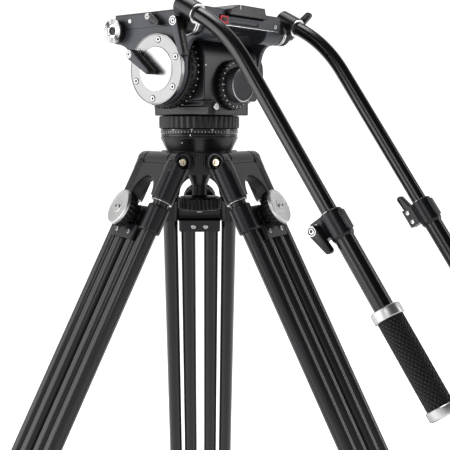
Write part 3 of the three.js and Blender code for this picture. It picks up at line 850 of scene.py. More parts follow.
def leg_look(side):
    place = LEG[side]
    leg = f"{side}_leg"
    extension = f"{side}_extension"
    casting(f"{side}_shoulder_casting", shoulder_add, shoulder_cut, place, CAST, leg,
            [f"{side}_leg_shoulder"])
    piece(f"{side}_socket_rings", socket_rings, place, STEEL, leg, smooth=30)
    for index, letter in enumerate("ab"):
        piece(f"{side}_outer_{letter}", outer_tubes(index), place, CARBON, leg,
              [f"{side}_outer_tube_{letter}"])
        piece(f"{side}_inner_{letter}", inner_tubes(index), place, CARBON, extension,
              [f"{side}_inner_tube_{letter}"])
    casting(f"{side}_guide_casting", guide_add, guide_cut, place, CAST, leg,
            [f"{side}_tube_guide"])
    casting(f"{side}_bracket_casting", bracket_add, bracket_cut, place, CAST, extension,
            [f"{side}_slide_bracket"])
    piece(f"{side}_bracket_trim", bracket_trim, place, STEEL, extension, smooth=30)
    casting(f"{side}_foot_rubber", foot_add, foot_cut, place, RUBBER, extension,
            [f"{side}_foot"], voxel=0.9)
    knob = place @ at(0, 0, KNOB_Z) @ ON_Y
    body = f"{side}_knob"
    piece(f"{side}_knob_grip", knob_grip, knob, KNURL, body, [f"{side}_lock_knob"])
    piece(f"{side}_knob_face", knob_face, knob, SATIN, body, smooth=30)
    piece(f"{side}_knob_slot", knob_slot, knob, PLASTIC, body)
    piece(f"{side}_knob_screw", knob_screw, knob, STEEL, body, smooth=30)


for side in SIDES:
    leg_look(side)


# ---------------------------------------------------------------- head, from the ball up
def ball_cast(bm):
    sphere = arc(0, 0, 37.5, -44, 0, 20)
    profile = [(0, -39), (8.5, -39), (13.3, -26.5), (14.5, -26.0)] + sphere + [
        (37.4, 1.5), (43.6, 14.6), (44.0, 15.3), (44.0, 15.8), (43.5, 16.3), (42.7, 16.5), (42.7, 16.9),
        (43.2, 17.1), (43.4, 17.4), (43.4, 19.2), (43.0, 19.6), (19, 19.6), (19, 39.8), (0, 39.8)]
    lathe(bm, profile, 144)


def clamp_knob_grip(bm):
    fluted_ring(bm, 24.5, 1.3, 30, -66, -53.2, 0.8)
    lathe(bm, [(0, -53.6), (22.8, -53.6), (22.6, -52.4), (21.8, -51.7), (10, -51.6), (8, -50), (8, -39.5),
               (0, -39.5)], 96)
    lathe(bm, [(0, -67.4), (19.6, -67.4), (20.6, -67.0), (23.2, -65.9), (0, -65.9)], 96)


def clamp_knob_tip(bm):
    lathe(bm, [(0, -70), (2.4, -70), (3, -69.4), (3, -67), (0, -67)], 36)


def pan_band(bm):
    profile = [(19.4, 20.0), (43.5, 20.0), (43.9, 20.4), (43.9, 25.1), (43.4, 25.6), (19.4, 25.6)]
    lathe(bm, profile, 144, closed=True)


def pan_grip(bm):
    fluted_ring(bm, 45.5, 1.2, 40, 25.6, 39.8, 0.8, inner=19.4)


def scale_marks(bm):
    """Ticks round the pan band, every fifth one longer."""
    for index in range(72):
        turn = turned(index * 5)
        height = 2.6 if index % 6 == 0 else 1.5
        box(bm, (43.7, -0.22, 21.2), (44.02, 0.22, 21.2 + height), turn)


def scale_figures(bm):
    """Degrees round the band, every 30, standing upright."""
    for index in range(12):
        upright = turned(index * 30) @ at(43.75, 0, 24.5) @ ON_X
        add_number(bm, str(index * 30), 1.9, upright)


def index_marks(bm):
    """The dots and the tick on the flare, which the scales are read against."""
    for degrees, radius, z, size in ((-76, 41.6, 10.0, 0.8), (-118, 41.6, 10.0, 0.55)):
        turn = turned(degrees)
        lean = turned(90 + 25, "Y")
        rod(bm, size, -0.3, 0.45, 20, turn @ at(radius, 0, z) @ lean)
    turn = turned(-62)
    box(bm, (43.2, -0.5, 17.3), (43.55, 0.5, 19.3), turn)


def housing_outline():
    front, rear, top = -34.0, HOUSING_REAR, TILT_Z + 34
    bottom = 56.0
    outline = [(front, bottom), (rear - 4, bottom)]
    outline += curve((rear - 4, bottom), (rear, bottom), (rear, 60), 6)
    outline += [(rear, 62), (rear, TILT_Z + 10)]
    outline += curve((rear, TILT_Z + 10), (rear, top), (8, top), 24)
    outline += [(8, top)] + arc(0, TILT_Z, 34, 90, 180, 30)
    return outline


def housing_add(bm):
    prism(bm, rounded(-41, -34, HOUSING_REAR, 34, 7), 40.3, 60)
    prism(bm, housing_outline(), -HOUSING_HALF, HOUSING_HALF, "xz")
    prism(bm, rounded(-36, -38, HOUSING_REAR - 5, 38, 6), 50, 60)


def housing_cut(bm):
    # a shallow recess for the level, and one round the tilt axis on each side
    rod(bm, 4.0, HOUSING_REAR - 1.2, HOUSING_REAR + 3, 36, at(0, *LEVEL_SPOT) @ ON_X)
    rod(bm, 11.4, -HOUSING_HALF - 2, -HOUSING_HALF + 1.0, 48, at(0, 0, TILT_Z) @ ON_Y)
    rod(bm, 11.4, HOUSING_HALF - 1.0, HOUSING_HALF + 2, 48, at(0, 0, TILT_Z) @ ON_Y)


def housing_screws(bm):
    """Two screws low on the front of the base."""
    facing = ON_X_BACK
    for y in (-27.5, 27.5):
        hex_socket_screw(bm, 2.6, 1.0, at(-41.2, y, 49) @ facing)


def housing_marks(bm):
    """The dot that the tilt ring's scale is read against, and its twin on top."""
    rod(bm, 0.95, HOUSING_REAR - 0.4, HOUSING_REAR + 0.15, 24, at(0, -43.6, TILT_Z + 4) @ ON_X)
    box(bm, (-0.5, -45.6, TILT_Z + 33.4), (0.5, -42.0, TILT_Z + 34.15))


def vial_ring(bm):
    profile = [(3.2, 0.3), (3.9, 0.3), (3.9, 1.0), (3.6, 1.3), (3.2, 1.3)]
    lathe(bm, profile, 48, closed=True)


def vial(bm):
    lathe(bm, [(0, 0.3), (3.2, 0.3), (3.15, 1.1), (2.4, 1.35), (1.2, 1.45), (0, 1.5)], 48)


def vial_marks(bm):
    lathe(bm, [(1.5, 1.3), (1.75, 1.3), (1.75, 1.55), (1.5, 1.55)], 36, closed=True)


def tilt_ring_band(bm):
    """The drag ring stands on its axis here, Z = 0 at the tilt axis and rising toward the near side."""
    r = TILT_RING_R
    profile = [(11.4, 46.3), (r - 0.9, 46.3), (r - 0.2, 46.7), (r, 47.3), (r, 49.0), (r - 0.5, 49.4),
               (r - 0.5, 57.0), (r - 0.9, 58.4), (r - 2.4, 59.7), (11.4, 59.7)]
    lathe(bm, profile, 160, closed=True)


def tilt_ring_pads(bm):
    """Raised grip pads, each with a groove across it."""
    for index in range(30):
        turn = turned(index * 12)
        r = TILT_RING_R
        box(bm, (r - 1.2, -2.9, 49.9), (r + 0.75, -0.4, 57.2), turn)
        box(bm, (r - 1.2, 0.4, 49.9), (r + 0.75, 2.9, 57.2), turn)
        box(bm, (r - 1.2, -2.9, 52.4), (r + 0.35, 2.9, 54.6), turn)


def tilt_ring_marks(bm):
    for index in range(36):
        turn = turned(index * 10 + 5)
        rod(bm, 0.85, TILT_RING_R - 0.3, TILT_RING_R + 0.15, 20,
            turn @ at(0, 0, 48.1) @ turned(90, "Y"))


def dial_ring(bm):
    fluted_ring(bm, 27.4, 1.2, 28, 0.4, 6.5, 0.5)
    lathe(bm, [(0, 6.2), (25.6, 6.2), (25.4, 6.8), (22.4, 8.0), (0, 8.0)], 96)


def dial_marks(bm):
    """Dots on the dial's sloping face, with a longer tick at every sixth."""
    for index in range(24):
        lean = at(24.1, 0, 7.35) @ turned(22, "Y")
        turn = turned(index * 15)
        rod(bm, 0.72, -0.3, 0.15, 20, turn @ lean)
        if index % 6 == 0:
            box(bm, (-2.4, -0.3, -0.3), (-1.0, 0.3, 0.3), turn @ lean)


def dial_cap(bm):
    lathe(bm, [(0, 7.8), (19.6, 7.8), (19.6, 12), (19.2, 15.2), (18.6, 16.0), (17.6, 16.5), (16.9, 16.2),
               (16.4, 15.8), (0, 15.8)], 96)


def dial_cap_rim(bm):
    lathe(bm, [(16.6, 16.0), (17.6, 16.55), (18.5, 16.1), (18.6, 15.8), (16.6, 15.8)], 96, closed=True)


piece("ball_and_flare", ball_cast, HEAD, MACHINED, "ball", ["half_ball"], smooth=30)
piece("flare_marks", index_marks, HEAD, WHITE, "ball")
piece("clamp_knob_grip", clamp_knob_grip, HEAD, KNURL, "clamp_knob", ["clamp_knob"], smooth=40)
piece("clamp_knob_tip", clamp_knob_tip, HEAD, STEEL, "clamp_knob")
piece("pan_ring_grip", pan_grip, HEAD, KNURL, "pan_ring", ["pan_drag_ring"], smooth=40)
piece("pan_ring_band", pan_band, HEAD, MACHINED, "pan_ring", slot="black_plastic", smooth=30)
piece("pan_scale_ticks", scale_marks, HEAD, WHITE, "pan_ring")
piece("pan_scale_figures", scale_figures, HEAD, WHITE, "pan_ring", smooth=0)
casting("housing_casting", housing_add, housing_cut, HEAD, CAST, "pan_base", ["head_housing"],
        voxel=0.8, passes=5)
piece("housing_screws", housing_screws, HEAD, STEEL, "pan_base", smooth=30)
piece("housing_marks", housing_marks, HEAD, WHITE, "pan_base")
LEVEL = HEAD @ at(HOUSING_REAR, *LEVEL_SPOT) @ ON_X
piece("level_ring", vial_ring, LEVEL, BRIGHT, "pan_base", smooth=30)
piece("level_vial", vial, LEVEL, VIAL, "pan_base", ["bubble_level"], smooth=50)
piece("level_marks", vial_marks, LEVEL, PLASTIC, "pan_base")
NEAR_AXIS = HEAD @ at(0, 0, TILT_Z) @ NEAR_SIDE
piece("tilt_ring_band", tilt_ring_band, NEAR_AXIS, PLASTIC, "tilt_ring", ["tilt_drag_ring"], smooth=30)
piece("tilt_ring_pads", tilt_ring_pads, NEAR_AXIS, PLASTIC, "tilt_ring", bevel=0.35)
piece("tilt_ring_marks", tilt_ring_marks, NEAR_AXIS, WHITE, "tilt_ring")
DIAL = HEAD @ at(HOUSING_REAR, 0, DIAL_Z) @ ON_X
piece("dial_ring", dial_ring, DIAL, KNURL, "dial", ["counterbalance_dial"], smooth=40)
piece("dial_ticks", dial_marks, DIAL, WHITE, "dial")
piece("dial_cap", dial_cap, DIAL, CAP_GREY, "dial", smooth=30)
piece("dial_cap_rim", dial_cap_rim, DIAL, STEEL, "dial", smooth=50)


# ---------------------------------------------------------------- cradle and camera plate
def side_outline():
    fx, fz = FRONT_ROSETTE
    rx, rz = REAR_ROSETTE
    nose_start = (fx + 14 * math.cos(math.radians(261)), fz + 14 * math.sin(math.radians(261)))
    ring_start = (DISC_R * math.cos(math.radians(171)), TILT_Z + DISC_R * math.sin(math.radians(171)))
    ring_end = (DISC_R * math.cos(math.radians(9)), TILT_Z + DISC_R * math.sin(math.radians(9)))
    rear_start = (rx, rz - 14)
    outline = [(-66, PLATFORM_TOP)] + arc(fx, fz, 14, 110, 261, 24)
    outline += curve(nose_start, (-44, fz - 16), ring_start, 16)
    outline += arc(0, TILT_Z, DISC_R, 171, 369, 60)
    outline += curve(ring_end, (40, rz - 16), rear_start, 16)
    outline += arc(rx, rz, 14, -90, 0, 16) + [(66, PLATFORM_TOP)]
    return outline


def cradle_add(bm):
    box(bm, (-66, -CHEEK_OUT, PLATFORM_BOTTOM), (66, CHEEK_OUT, PLATFORM_TOP))
    for side in BOTH:
        low, high = mirrored(side, CHEEK_IN, CHEEK_OUT)
        prism(bm, side_outline(), low, high, "xz")
        low, high = mirrored(side, 46.4, 61)
        rod(bm, 11, low, high, 48, at(0, 0, TILT_Z) @ ON_Y)
        low, high = mirrored(side, 40, CHEEK_OUT)
        for x, z in (FRONT_ROSETTE, REAR_ROSETTE):
            rod(bm, 13.8, low, high, 64, at(x, 0, z) @ ON_Y)


def cradle_cut(bm):
    prism(bm, [(-34, 144.7), (34, 144.7), (29.9, 152.5), (-29.9, 152.5)], -90, 80, "yz")
    box(bm, (60.2, -42.6, 135.2), (76, -29.4, 144.2))
    # the rear face's channel under the plate, and the underside's lightening pockets
    box(bm, (64.6, -24, 136.6), (70, 24, 141.6))
    for y in BOTH:
        low, high = mirrored(y, 6, 52)
        box(bm, (-50, low, 128), (-24, high, 138.5))
        box(bm, (-18, low, 128), (30, high, 138.5))
    rod(bm, 6.2, -70, -64.4, 40, at(-8, 0, 145) @ ON_Y)


def cradle_edge_lines(bm):
    """Lines of bare metal along the platform's lower rear edge and its lip."""
    box(bm, (65.6, -62, 133.9), (66.15, 62, 134.5))
    for side in BOTH:
        low, high = mirrored(side, 34.6, 30.6)
        box(bm, (65.3, low, 150.6), (65.9, high, 150.95))


def cradle_seams(bm):
    """The dark joint between platform and cheeks, and the dark edge of the platform's top."""
    for side in BOTH:
        low, high = mirrored(side, 65.3, 66.12)
        box(bm, (-49, low, PLATFORM_BOTTOM + 0.1), (39, high, PLATFORM_BOTTOM + 0.9))
        box(bm, (-65.4, low, PLATFORM_TOP - 1.5), (65.4, high, PLATFORM_TOP - 0.2))


def cradle_screws(bm):
    for side in BOTH:
        for x, z in ((-43, 143), (33, 143)):
            turn = ON_Y if side > 0 else NEAR_SIDE
            hex_socket_screw(bm, 2.4, 0.9, at(x, side * 65.8, z) @ turn)
        hex_socket_screw(bm, 2.4, 0.9, at(65.6, side * 55, 139.5) @ ON_X)


def button_frame(bm):
    """The red surround of the grey safety button."""
    outline = rounded(-42.2, 135.6, -29.8, 143.8, 1.2)
    hole = rounded(-39.8, 137.6, -32.2, 141.8, 0.8)
    rows = []
    for ring, x in ((outline, 62.6), (outline, 67.2), (hole, 67.2), (hole, 66.0)):
        rows.append([bm.verts.new(Vector((x, y, z))) for y, z in ring])
    ring_faces(bm, rows)
    bm.faces.new(rows[0])
    bm.faces.new(rows[-1])


def button_face(bm):
    prism(bm, rounded(-39.6, 137.8, -32.4, 141.6, 0.8), 65.9, 68.0, "yz")


def camera_plate_body(bm):
    outline = [(-33.2, 145.1), (33.2, 145.1), (33.2, 146.2), (29.4, 151.5), (28.4, 156.1), (27.8, 156.5),
               (-15.6, 156.5), (-16.6, 156.2), (-29.4, 151.5), (-33.2, 146.2)]
    prism(bm, outline, -50, 72, "yz")


def camera_plate_cut(bm):
    rod(bm, 5.1, 100, 200, 48)
    rod(bm, 9.3, 143, 149.3, 48)
    prism(bm, rounded(-38, -4.2, -16, 4.2, 4.1), 154.6, 158)
    prism(bm, rounded(22, -4.2, 60, 4.2, 4.1), 154.6, 158)


def camera_plate_pads(bm):
    """Two ribbed rubber strips for the camera to stand on."""
    for x0, x1 in ((-46, -8), (14, 66)):
        for side in BOTH:
            low, high = (-14, -6) if side < 0 else (8, 25)
            prism(bm, rounded(x0, low, x1, high, 2), 156.3, 157.0)
            for index in range(4):
                y = low + 2 + index * (high - low - 4) / 3
                box(bm, (x0 + 2, y - 0.6, 156.9), (x1 - 2, y + 0.6, 157.4))


def camera_plate_marks(bm):
    box(bm, (71.9, -15.6, 151.6), (72.15, -14.4, 156.2))
    for index in range(-4, 5):
        box(bm, (index * 5 - 0.25, -22.6, 153.7), (index * 5 + 0.25, -21.4, 154.5))


def screw_thread(bm):
    """A camera screw: knurled head, plain shank, then a few threads."""
    profile = [(0, 147), (4.4, 147), (4.4, 156.8)]
    pitch = 1.27
    for index in range(4):
        z = 157.0 + index * pitch
        profile += [(4.75, z + 0.3), (4.75, z + 0.5), (4.1, z + 0.95)]
    profile += [(4.1, 162.6), (3.4, 163.5), (0, 163.5)]
    lathe(bm, profile, 48)
    fluted_ring(bm, 9, 0.5, 36, 145.1, 149, 0.3)


# The cradle casting takes the lighter copy of the cast metal: painted light on its sides.
casting("cradle_casting", cradle_add, cradle_cut, HEAD, CAST_PAINTED_LIT, "cradle", ["cradle"],
        voxel=0.8, passes=4)
piece("cradle_edge_lines", cradle_edge_lines, HEAD, STEEL, "cradle")
piece("cradle_seams", cradle_seams, HEAD, PLASTIC, "cradle")
piece("cradle_screws", cradle_screws, HEAD, STEEL, "cradle", smooth=30)
piece("button_frame", button_frame, HEAD, RED, "button", ["safety_button"], smooth=40)
piece("button_face", button_face, HEAD, CAP_GREY, "button", bevel=0.3)
casting("camera_plate_body", camera_plate_body, camera_plate_cut, HEAD, MACHINED, "sliding_plate",
        ["camera_plate"], voxel=0.6, passes=2)
piece("camera_plate_pads", camera_plate_pads, HEAD, RUBBER, "sliding_plate", bevel=0.2)
piece("camera_plate_marks", camera_plate_marks, HEAD, WHITE, "sliding_plate")
piece("camera_screw_thread", screw_thread, HEAD, STEEL, "plate_screw", ["camera_screw"], smooth=40)


# ---------------------------------------------------------------- discs, rosettes and levers
NEAR_DISC = HEAD @ at(0, -CHEEK_OUT, TILT_Z) @ NEAR_SIDE
FAR_DISC = HEAD @ at(0, CHEEK_OUT, TILT_Z) @ ON_Y


def disc_body(bm):
    """A turned plate with a raised rim, a step and a slightly hollow centre."""
    profile = [(0, 0.4), (37.6, 0.4), (37.6, 4.2), (37.9, 4.6), (37.9, 5.0), (37.5, 5.4), (36.8, 5.4),
               (36.4, 5.0), (24.2, 4.95), (0, 4.95)]
    lathe(bm, profile, 160)


def disc_centre_plate(bm):
    """The brighter, slightly domed middle of the disc."""
    lathe(bm, [(0, 4.9), (24.0, 4.9), (24.0, 5.2), (23.6, 5.45), (12, 5.6), (0, 5.65)], 160)


def disc_screws(bm):
    for index in range(6):
        turn = turned(SCREW_TURN + index * 60)
        hex_socket_screw(bm, 3.1, 1.1, turn @ at(SCREW_R, 0, 4.6), 0.55)


def disc_screw_painted_shade(bm):
    """Painted shade: a dark ring round each of the disc's screws for the shadow in its recess, and a dark
    hexagon at the bottom of its socket.
    """
    for index in range(6):
        turn = turned(SCREW_TURN + index * 60)
        profile = [(3.15, 4.9), (3.8, 4.9), (3.7, 5.06), (3.2, 5.0)]
        lathe(bm, profile, 40, turn @ at(SCREW_R, 0, 0), closed=True)
        rod(bm, 1.7, 5.0, 5.25, 6, turn @ at(SCREW_R, 0, 0))


def far_disc_body(bm):
    lathe(bm, [(0, 0.4), (37.6, 0.4), (37.6, 4.4), (36.8, 5.3), (30, 5.3), (29, 4.6), (0, 4.6)], 128)


def rosette_drum(bm):
    lathe(bm, [(0, 0.2), (12.4, 0.2), (12.4, 7.6), (0, 7.6)], 64)


def rosette_teeth(bm):
    """A rosette's face: a disc whose fine teeth run out from its centre."""
    teeth = 48
    steps = teeth * 4
    rings = [[bm.verts.new(Vector((0, 0, 7.4)))]]
    for r, z, depth in ((13.0, 7.4, 0), (13.0, 8.6, 0), (12.8, 8.9, 0.75), (7.2, 9.1, 0.42), (7.0, 8.8, 0)):
        ring = []
        for i in range(steps):
            angle = 2 * math.pi * i / steps
            share = abs((i % 4) - 2) / 2
            ring.append(bm.verts.new(polar(r, angle, z + depth * share)))
        rings.append(ring)
    rings.append([bm.verts.new(Vector((0, 0, 8.8)))])
    ring_faces(bm, rings)


def rosette_bolt(bm):
    lathe(bm, [(2.6, 8.6), (4.6, 8.6), (4.6, 9.4), (4.2, 9.6), (3.0, 9.6), (2.6, 9.2)], 48, closed=True)
    lathe(bm, [(0, 8.6), (2.7, 8.6), (2.7, 8.9), (0, 8.9)], 32)
    for index in range(4):
        turn = turned(45 + index * 90)
        rod(bm, 0.8, 8.6, 8.95, 16, turn @ at(5.9, 0, 0))


def lever(name, outline, thick, place, body, nodes, slot_name="black_casting", material=None, turn="xz"):
    """A cast lever: its outline given thickness and its edges rounded."""
    def build(bm):
        prism(bm, outline, thick[0], thick[1], turn)
    made = piece(name, build, place, material or MACHINED, body, nodes, slot_name, bevel=0.9)
    return made


def hub_ring(outer, inner, z0, z1):
    def build(bm):
        c = 0.35
        lathe(bm, [(inner, z0), (outer, z0), (outer, z1 - c), (outer - c, z1), (inner + c, z1),
                   (inner, z1 - c)], 64, closed=True)
    return build


def hub_screw(radius, z0):
    def build(bm):
        hex_socket_screw(bm, radius, 0.9, at(0, 0, z0), 0.55)
    return build


piece("disc_body", disc_body, NEAR_DISC, MIRROR, "cradle", ["bright_side_disc"], smooth=25)
piece("disc_centre_plate", disc_centre_plate, NEAR_DISC, MIRROR_CENTRE, "cradle", smooth=25)
piece("disc_screws", disc_screws, NEAR_DISC, STEEL, "cradle", smooth=30)
# Dark rings and hexagons at the disc's screws: painted shade.
piece("disc_screw_painted_shade", disc_screw_painted_shade, NEAR_DISC, PLASTIC, "cradle", smooth=30)
piece("far_disc_body", far_disc_body, FAR_DISC, MACHINED, "cradle", ["far_side_disc"], smooth=25)
for letter, hand in HANDLES.items():
    facing = NEAR_SIDE if hand < 0 else ON_Y
    for where, (x, z) in (("front", FRONT_ROSETTE), ("rear", REAR_ROSETTE)):
        place = HEAD @ at(x, hand * (CHEEK_OUT + 0.3), z) @ facing
        piece(f"{where}_rosette_teeth_{letter}", rosette_teeth, place, BRIGHT, "cradle",
              [f"{where}_rosette_{letter}"], smooth=20)
        piece(f"{where}_rosette_drum_{letter}", rosette_drum, place, MACHINED, "cradle", smooth=30)
        piece(f"{where}_rosette_bolt_{letter}", rosette_bolt, place, PLASTIC, "cradle", smooth=30)

lever("tilt_lever_arm", lever_outline(TILT_HUB, 5.2, TILT_TIP, 3), (-85.4, -72.4), HEAD, "tilt_lever",
      ["tilt_lock_lever"])
HUB_SPOT = HEAD @ at(TILT_HUB[0], -85.4, TILT_HUB[1]) @ NEAR_SIDE
piece("tilt_lever_ring", hub_ring(4.6, 3.3, -0.2, 0.6), HUB_SPOT, STEEL, "tilt_lever")
piece("tilt_lever_screw", hub_screw(3.0, -0.3), HUB_SPOT, STEEL, "tilt_lever", smooth=30)
# The lever's outer face in the lighter copy of the cast metal: painted light.
lever("tilt_lever_face", lever_outline(TILT_HUB, 4.4, TILT_TIP, 2.3), (-85.75, -85.3), HEAD,
      "tilt_lever", [], material=CAST_PAINTED_LIT)

lever("pan_lever_arm", lever_outline((8, 50), 6, (34, 50), 4), (-50.0, -41.4), HEAD, "pan_lever",
      ["pan_lock_lever"], turn="yz")
PAN_HUB = HEAD @ at(-50.0, 8, 50) @ ON_X_BACK
piece("pan_lever_screw", hub_screw(3.4, -0.3), PAN_HUB, STEEL, "pan_lever", smooth=30)

lever("plate_lever_arm", lever_outline((-8, 145), 4, (6, 137.5), 2.4), (-75.0, -66.4), HEAD, "plate_lever",
      ["plate_lock_lever"])
PLATE_HUB = HEAD @ at(-8, -75.0, 145) @ NEAR_SIDE
piece("plate_lever_ring", hub_ring(3.5, 2.5, -0.2, 0.5), PLATE_HUB, STEEL, "plate_lever")
piece("plate_lever_screw", hub_screw(2.2, -0.4), PLATE_HUB, STEEL, "plate_lever", smooth=30)


# ---------------------------------------------------------------- handles


def handle_point(s):
    return (HANDLE_START[0] + s * math.sin(HANDLE_TILT), HANDLE_START[1] - s * math.cos(HANDLE_TILT))


def along_cover(y):
    """The cover's own frame: Z runs down the tube from the cover's closed end."""
    return at(COVER_START[0], y, COVER_START[1]) @ Matrix.Rotation(COVER_TILT, 4, "Y") @ ON_X


def upper_tube(y):
    def build(bm):
        end = handle_point(BEND_END_S)
        flat = [COVER_START, BEND_START] + curve(BEND_START, BEND_CORNER, end, 24)
        flat += [end, handle_point(UPPER_END_S)]
        sweep(bm, [Vector((x, y, z)) for x, z in flat], UPPER_R, 64)
    return build


def clamp_add(y, hand):
    def build(bm):
        x, z = REAR_ROSETTE
        low, high = mirrored(hand, 76.2, 88.9)
        rod(bm, 12.5, low, high, 64, at(x, 0, z) @ ON_Y, chamfer=0.8)
        rod(bm, COVER_R, -2.5, COVER_LENGTH, 64, along_cover(y), chamfer=1.2)
        low, high = mirrored(hand, 78.0, 88.9)
        box(bm, (x - 8, low, z), (x + 10, high, z + 12))
    return build


def clamp_cut(y, hand):
    def build(bm):
        x, z = REAR_ROSETTE
        rod(bm, UPPER_R + 0.4, 0.5, 60, 48, along_cover(y))
        low, high = mirrored(hand, 89.0, 120)
        rod(bm, 5.9, low, high, 48, at(x, 0, z) @ ON_Y)
    return build


def clamp_seam(y):
    def build(bm):
        z = COVER_LENGTH
        profile = [(UPPER_R + 0.3, z - 0.9), (COVER_R - 0.5, z - 0.9), (COVER_R - 0.4, z + 0.3),
                   (UPPER_R + 0.9, z + 0.6), (UPPER_R + 0.3, z + 0.6)]
        lathe(bm, profile, 80, along_cover(y), closed=True)
    return build


def rosette_bands(bm):
    """The three ribs round the clamp's hub."""
    for index in range(3):
        y = 81.0 + index * 2.4
        profile = [(12.2, y), (12.8, y + 0.3), (12.8, y + 1.1), (12.2, y + 1.4)]
        lathe(bm, profile, 72, closed=True)


def clamp_washer(bm):
    profile = [(8.0, 76.6), (12.6, 76.6), (13.0, 76.9), (13.0, 78.6), (12.6, 78.9), (8.0, 78.9)]
    lathe(bm, profile, 96, closed=True)


def lower_add(bm):
    top, end = -COLLAR_S, -COLLAR_END_S
    lathe(bm, [(8.2, top), (COLLAR_R - 0.8, top), (COLLAR_R, top - 0.8), (COLLAR_R, end + 0.8),
               (COLLAR_R - 0.8, end), (LOWER_R + 0.4, end - 1.6), (8.2, end - 1.6)], 96, closed=True)
    box(bm, (-22, -6, top - 9.3), (-8, 6, top + 0.6))
    box(bm, (-22, -6, top - 19.8), (-8, 6, top - 10.6))
    box(bm, (-14, -6, top - 19.8), (-8, 6, top + 0.6))


def lower_cut(bm):
    rod(bm, UPPER_R + 0.5, -COLLAR_END_S - 60, -COLLAR_S + 20, 64)


def lower_tube(bm):
    start, end = -COLLAR_END_S + 6, -GRIP_END_S + 3
    bore = UPPER_R + 0.4
    lathe(bm, [(bore, start), (LOWER_R, start), (LOWER_R, end), (bore, end)], 64, closed=True)


def collar_screws(bm):
    for z in (-COLLAR_S - 4.5, -COLLAR_S - 15.2):
        for hand, facing in ((-1, NEAR_SIDE), (1, ON_Y)):
            hex_socket_screw(bm, 2.3, 1.1, at(-16.5, hand * 5.9, z) @ facing, 0.55)


def collar_ring(bm):
    """A bright line where the upper tube enters."""
    top = -COLLAR_S
    profile = [(UPPER_R + 0.1, top - 0.2), (COLLAR_R - 1.2, top - 0.2), (COLLAR_R - 1.4, top + 0.5),
               (UPPER_R + 0.1, top + 0.5)]
    lathe(bm, profile, 80, closed=True)


def collar_pad(bm):
    """The raised pad on the collar's back."""
    outline = rounded(-5.0, -COLLAR_END_S + 3.0, 5.0, -COLLAR_S - 3.0, 2.2)
    prism(bm, outline, 10.0, 11.9, "yz")


def grip_body(bm):
    """The grip's surface: raised lozenges in rows that run round it and along it."""
    top, end = -GRIP_S - 10.6, -GRIP_END_S + 9.6
    around, rows = ((216, 288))
    lozenges = 18
    pitch = 5.4
    rings = []
    for row in range(rows + 1):
        z = top + (end - top) * row / rows
        ring = []
        for i in range(around):
            u = lozenges * i / around
            v = (top - z) / pitch
            a = 1 - 2 * abs((u + v) % 1.0 - 0.5)
            b = 1 - 2 * abs((u - v) % 1.0 - 0.5)
            groove = min(a, b)
            lift = min(1.0, groove * 2.4)
            radius = GRIP_R - 1.1 + 1.1 * lift
            angle = 2 * math.pi * i / around
            ring.append(bm.verts.new(polar(radius, angle, z)))
        rings.append(ring)
    for z in (end, top):
        rings.append([bm.verts.new(polar(9.7, 2 * math.pi * i / around, z)) for i in range(around)])
    rings.append(rings[0])
    ring_faces(bm, rings)


def grip_rings(bm):
    """The two bright collars that hold the grip."""
    r = GRIP_RING_R
    top, end = -GRIP_S, -GRIP_END_S
    lathe(bm, [(9.7, top), (r - 1.6, top), (r - 0.4, top - 0.7), (r, top - 1.8), (r, top - 9.6),
               (r - 0.5, top - 10.2), (r - 1.4, top - 10.5), (9.7, top - 10.5)], 128, closed=True)
    lathe(bm, [(0, end), (r - 1.8, end), (r - 0.5, end + 0.8), (r, end + 2), (r, end + 8.4),
               (r - 0.5, end + 9.1), (r - 1.4, end + 9.5), (0, end + 9.5)], 128)


def handle_look(letter, hand):
    body = f"handle_{letter}"
    extension = f"extension_{letter}"
    y = hand * HANDLE_Y
    outward = NEAR_SIDE if hand < 0 else ON_Y
    casting(f"handle_casting_{letter}", clamp_add(y, hand), clamp_cut(y, hand), HEAD, CAST, body,
            [f"handle_clamp_{letter}"])
    piece(f"upper_tube_{letter}", upper_tube(y), HEAD, TUBE, body, [f"upper_handle_{letter}"], smooth=50)
    piece(f"clamp_seam_{letter}", clamp_seam(y), HEAD, BRIGHT, body, smooth=30)
    hub = HEAD @ at(REAR_ROSETTE[0], 0, REAR_ROSETTE[1]) @ outward
    piece(f"clamp_bands_{letter}", rosette_bands, hub, MACHINED, body, smooth=30)
    piece(f"clamp_washer_{letter}", clamp_washer, hub, BRIGHT, body, smooth=30)
    angle_lever_look(letter, hand, hub)

    place = HANDLE[letter]
    casting(f"extension_collar_{letter}", lower_add, lower_cut, place, CAST, extension,
            [f"lower_handle_{letter}"], voxel=0.6, passes=3)
    piece(f"extension_tube_{letter}", lower_tube, place, TUBE, extension, smooth=50)
    piece(f"collar_screws_{letter}", collar_screws, place, STEEL, extension, smooth=30)
    piece(f"collar_ring_{letter}", collar_ring, place, STEEL, extension, smooth=30)
    piece(f"collar_pad_{letter}", collar_pad, place, CAST, extension, bevel=0.5)
    piece(f"grip_body_{letter}", grip_body, place, GRIP, extension, [f"grip_{letter}"], smooth=0)
    piece(f"grip_rings_{letter}", grip_rings, place, SATIN, extension, smooth=30)
    length_lever_look(letter, hand, place @ at(LENGTH_HUB[0], 0, LENGTH_HUB[1]) @ outward)


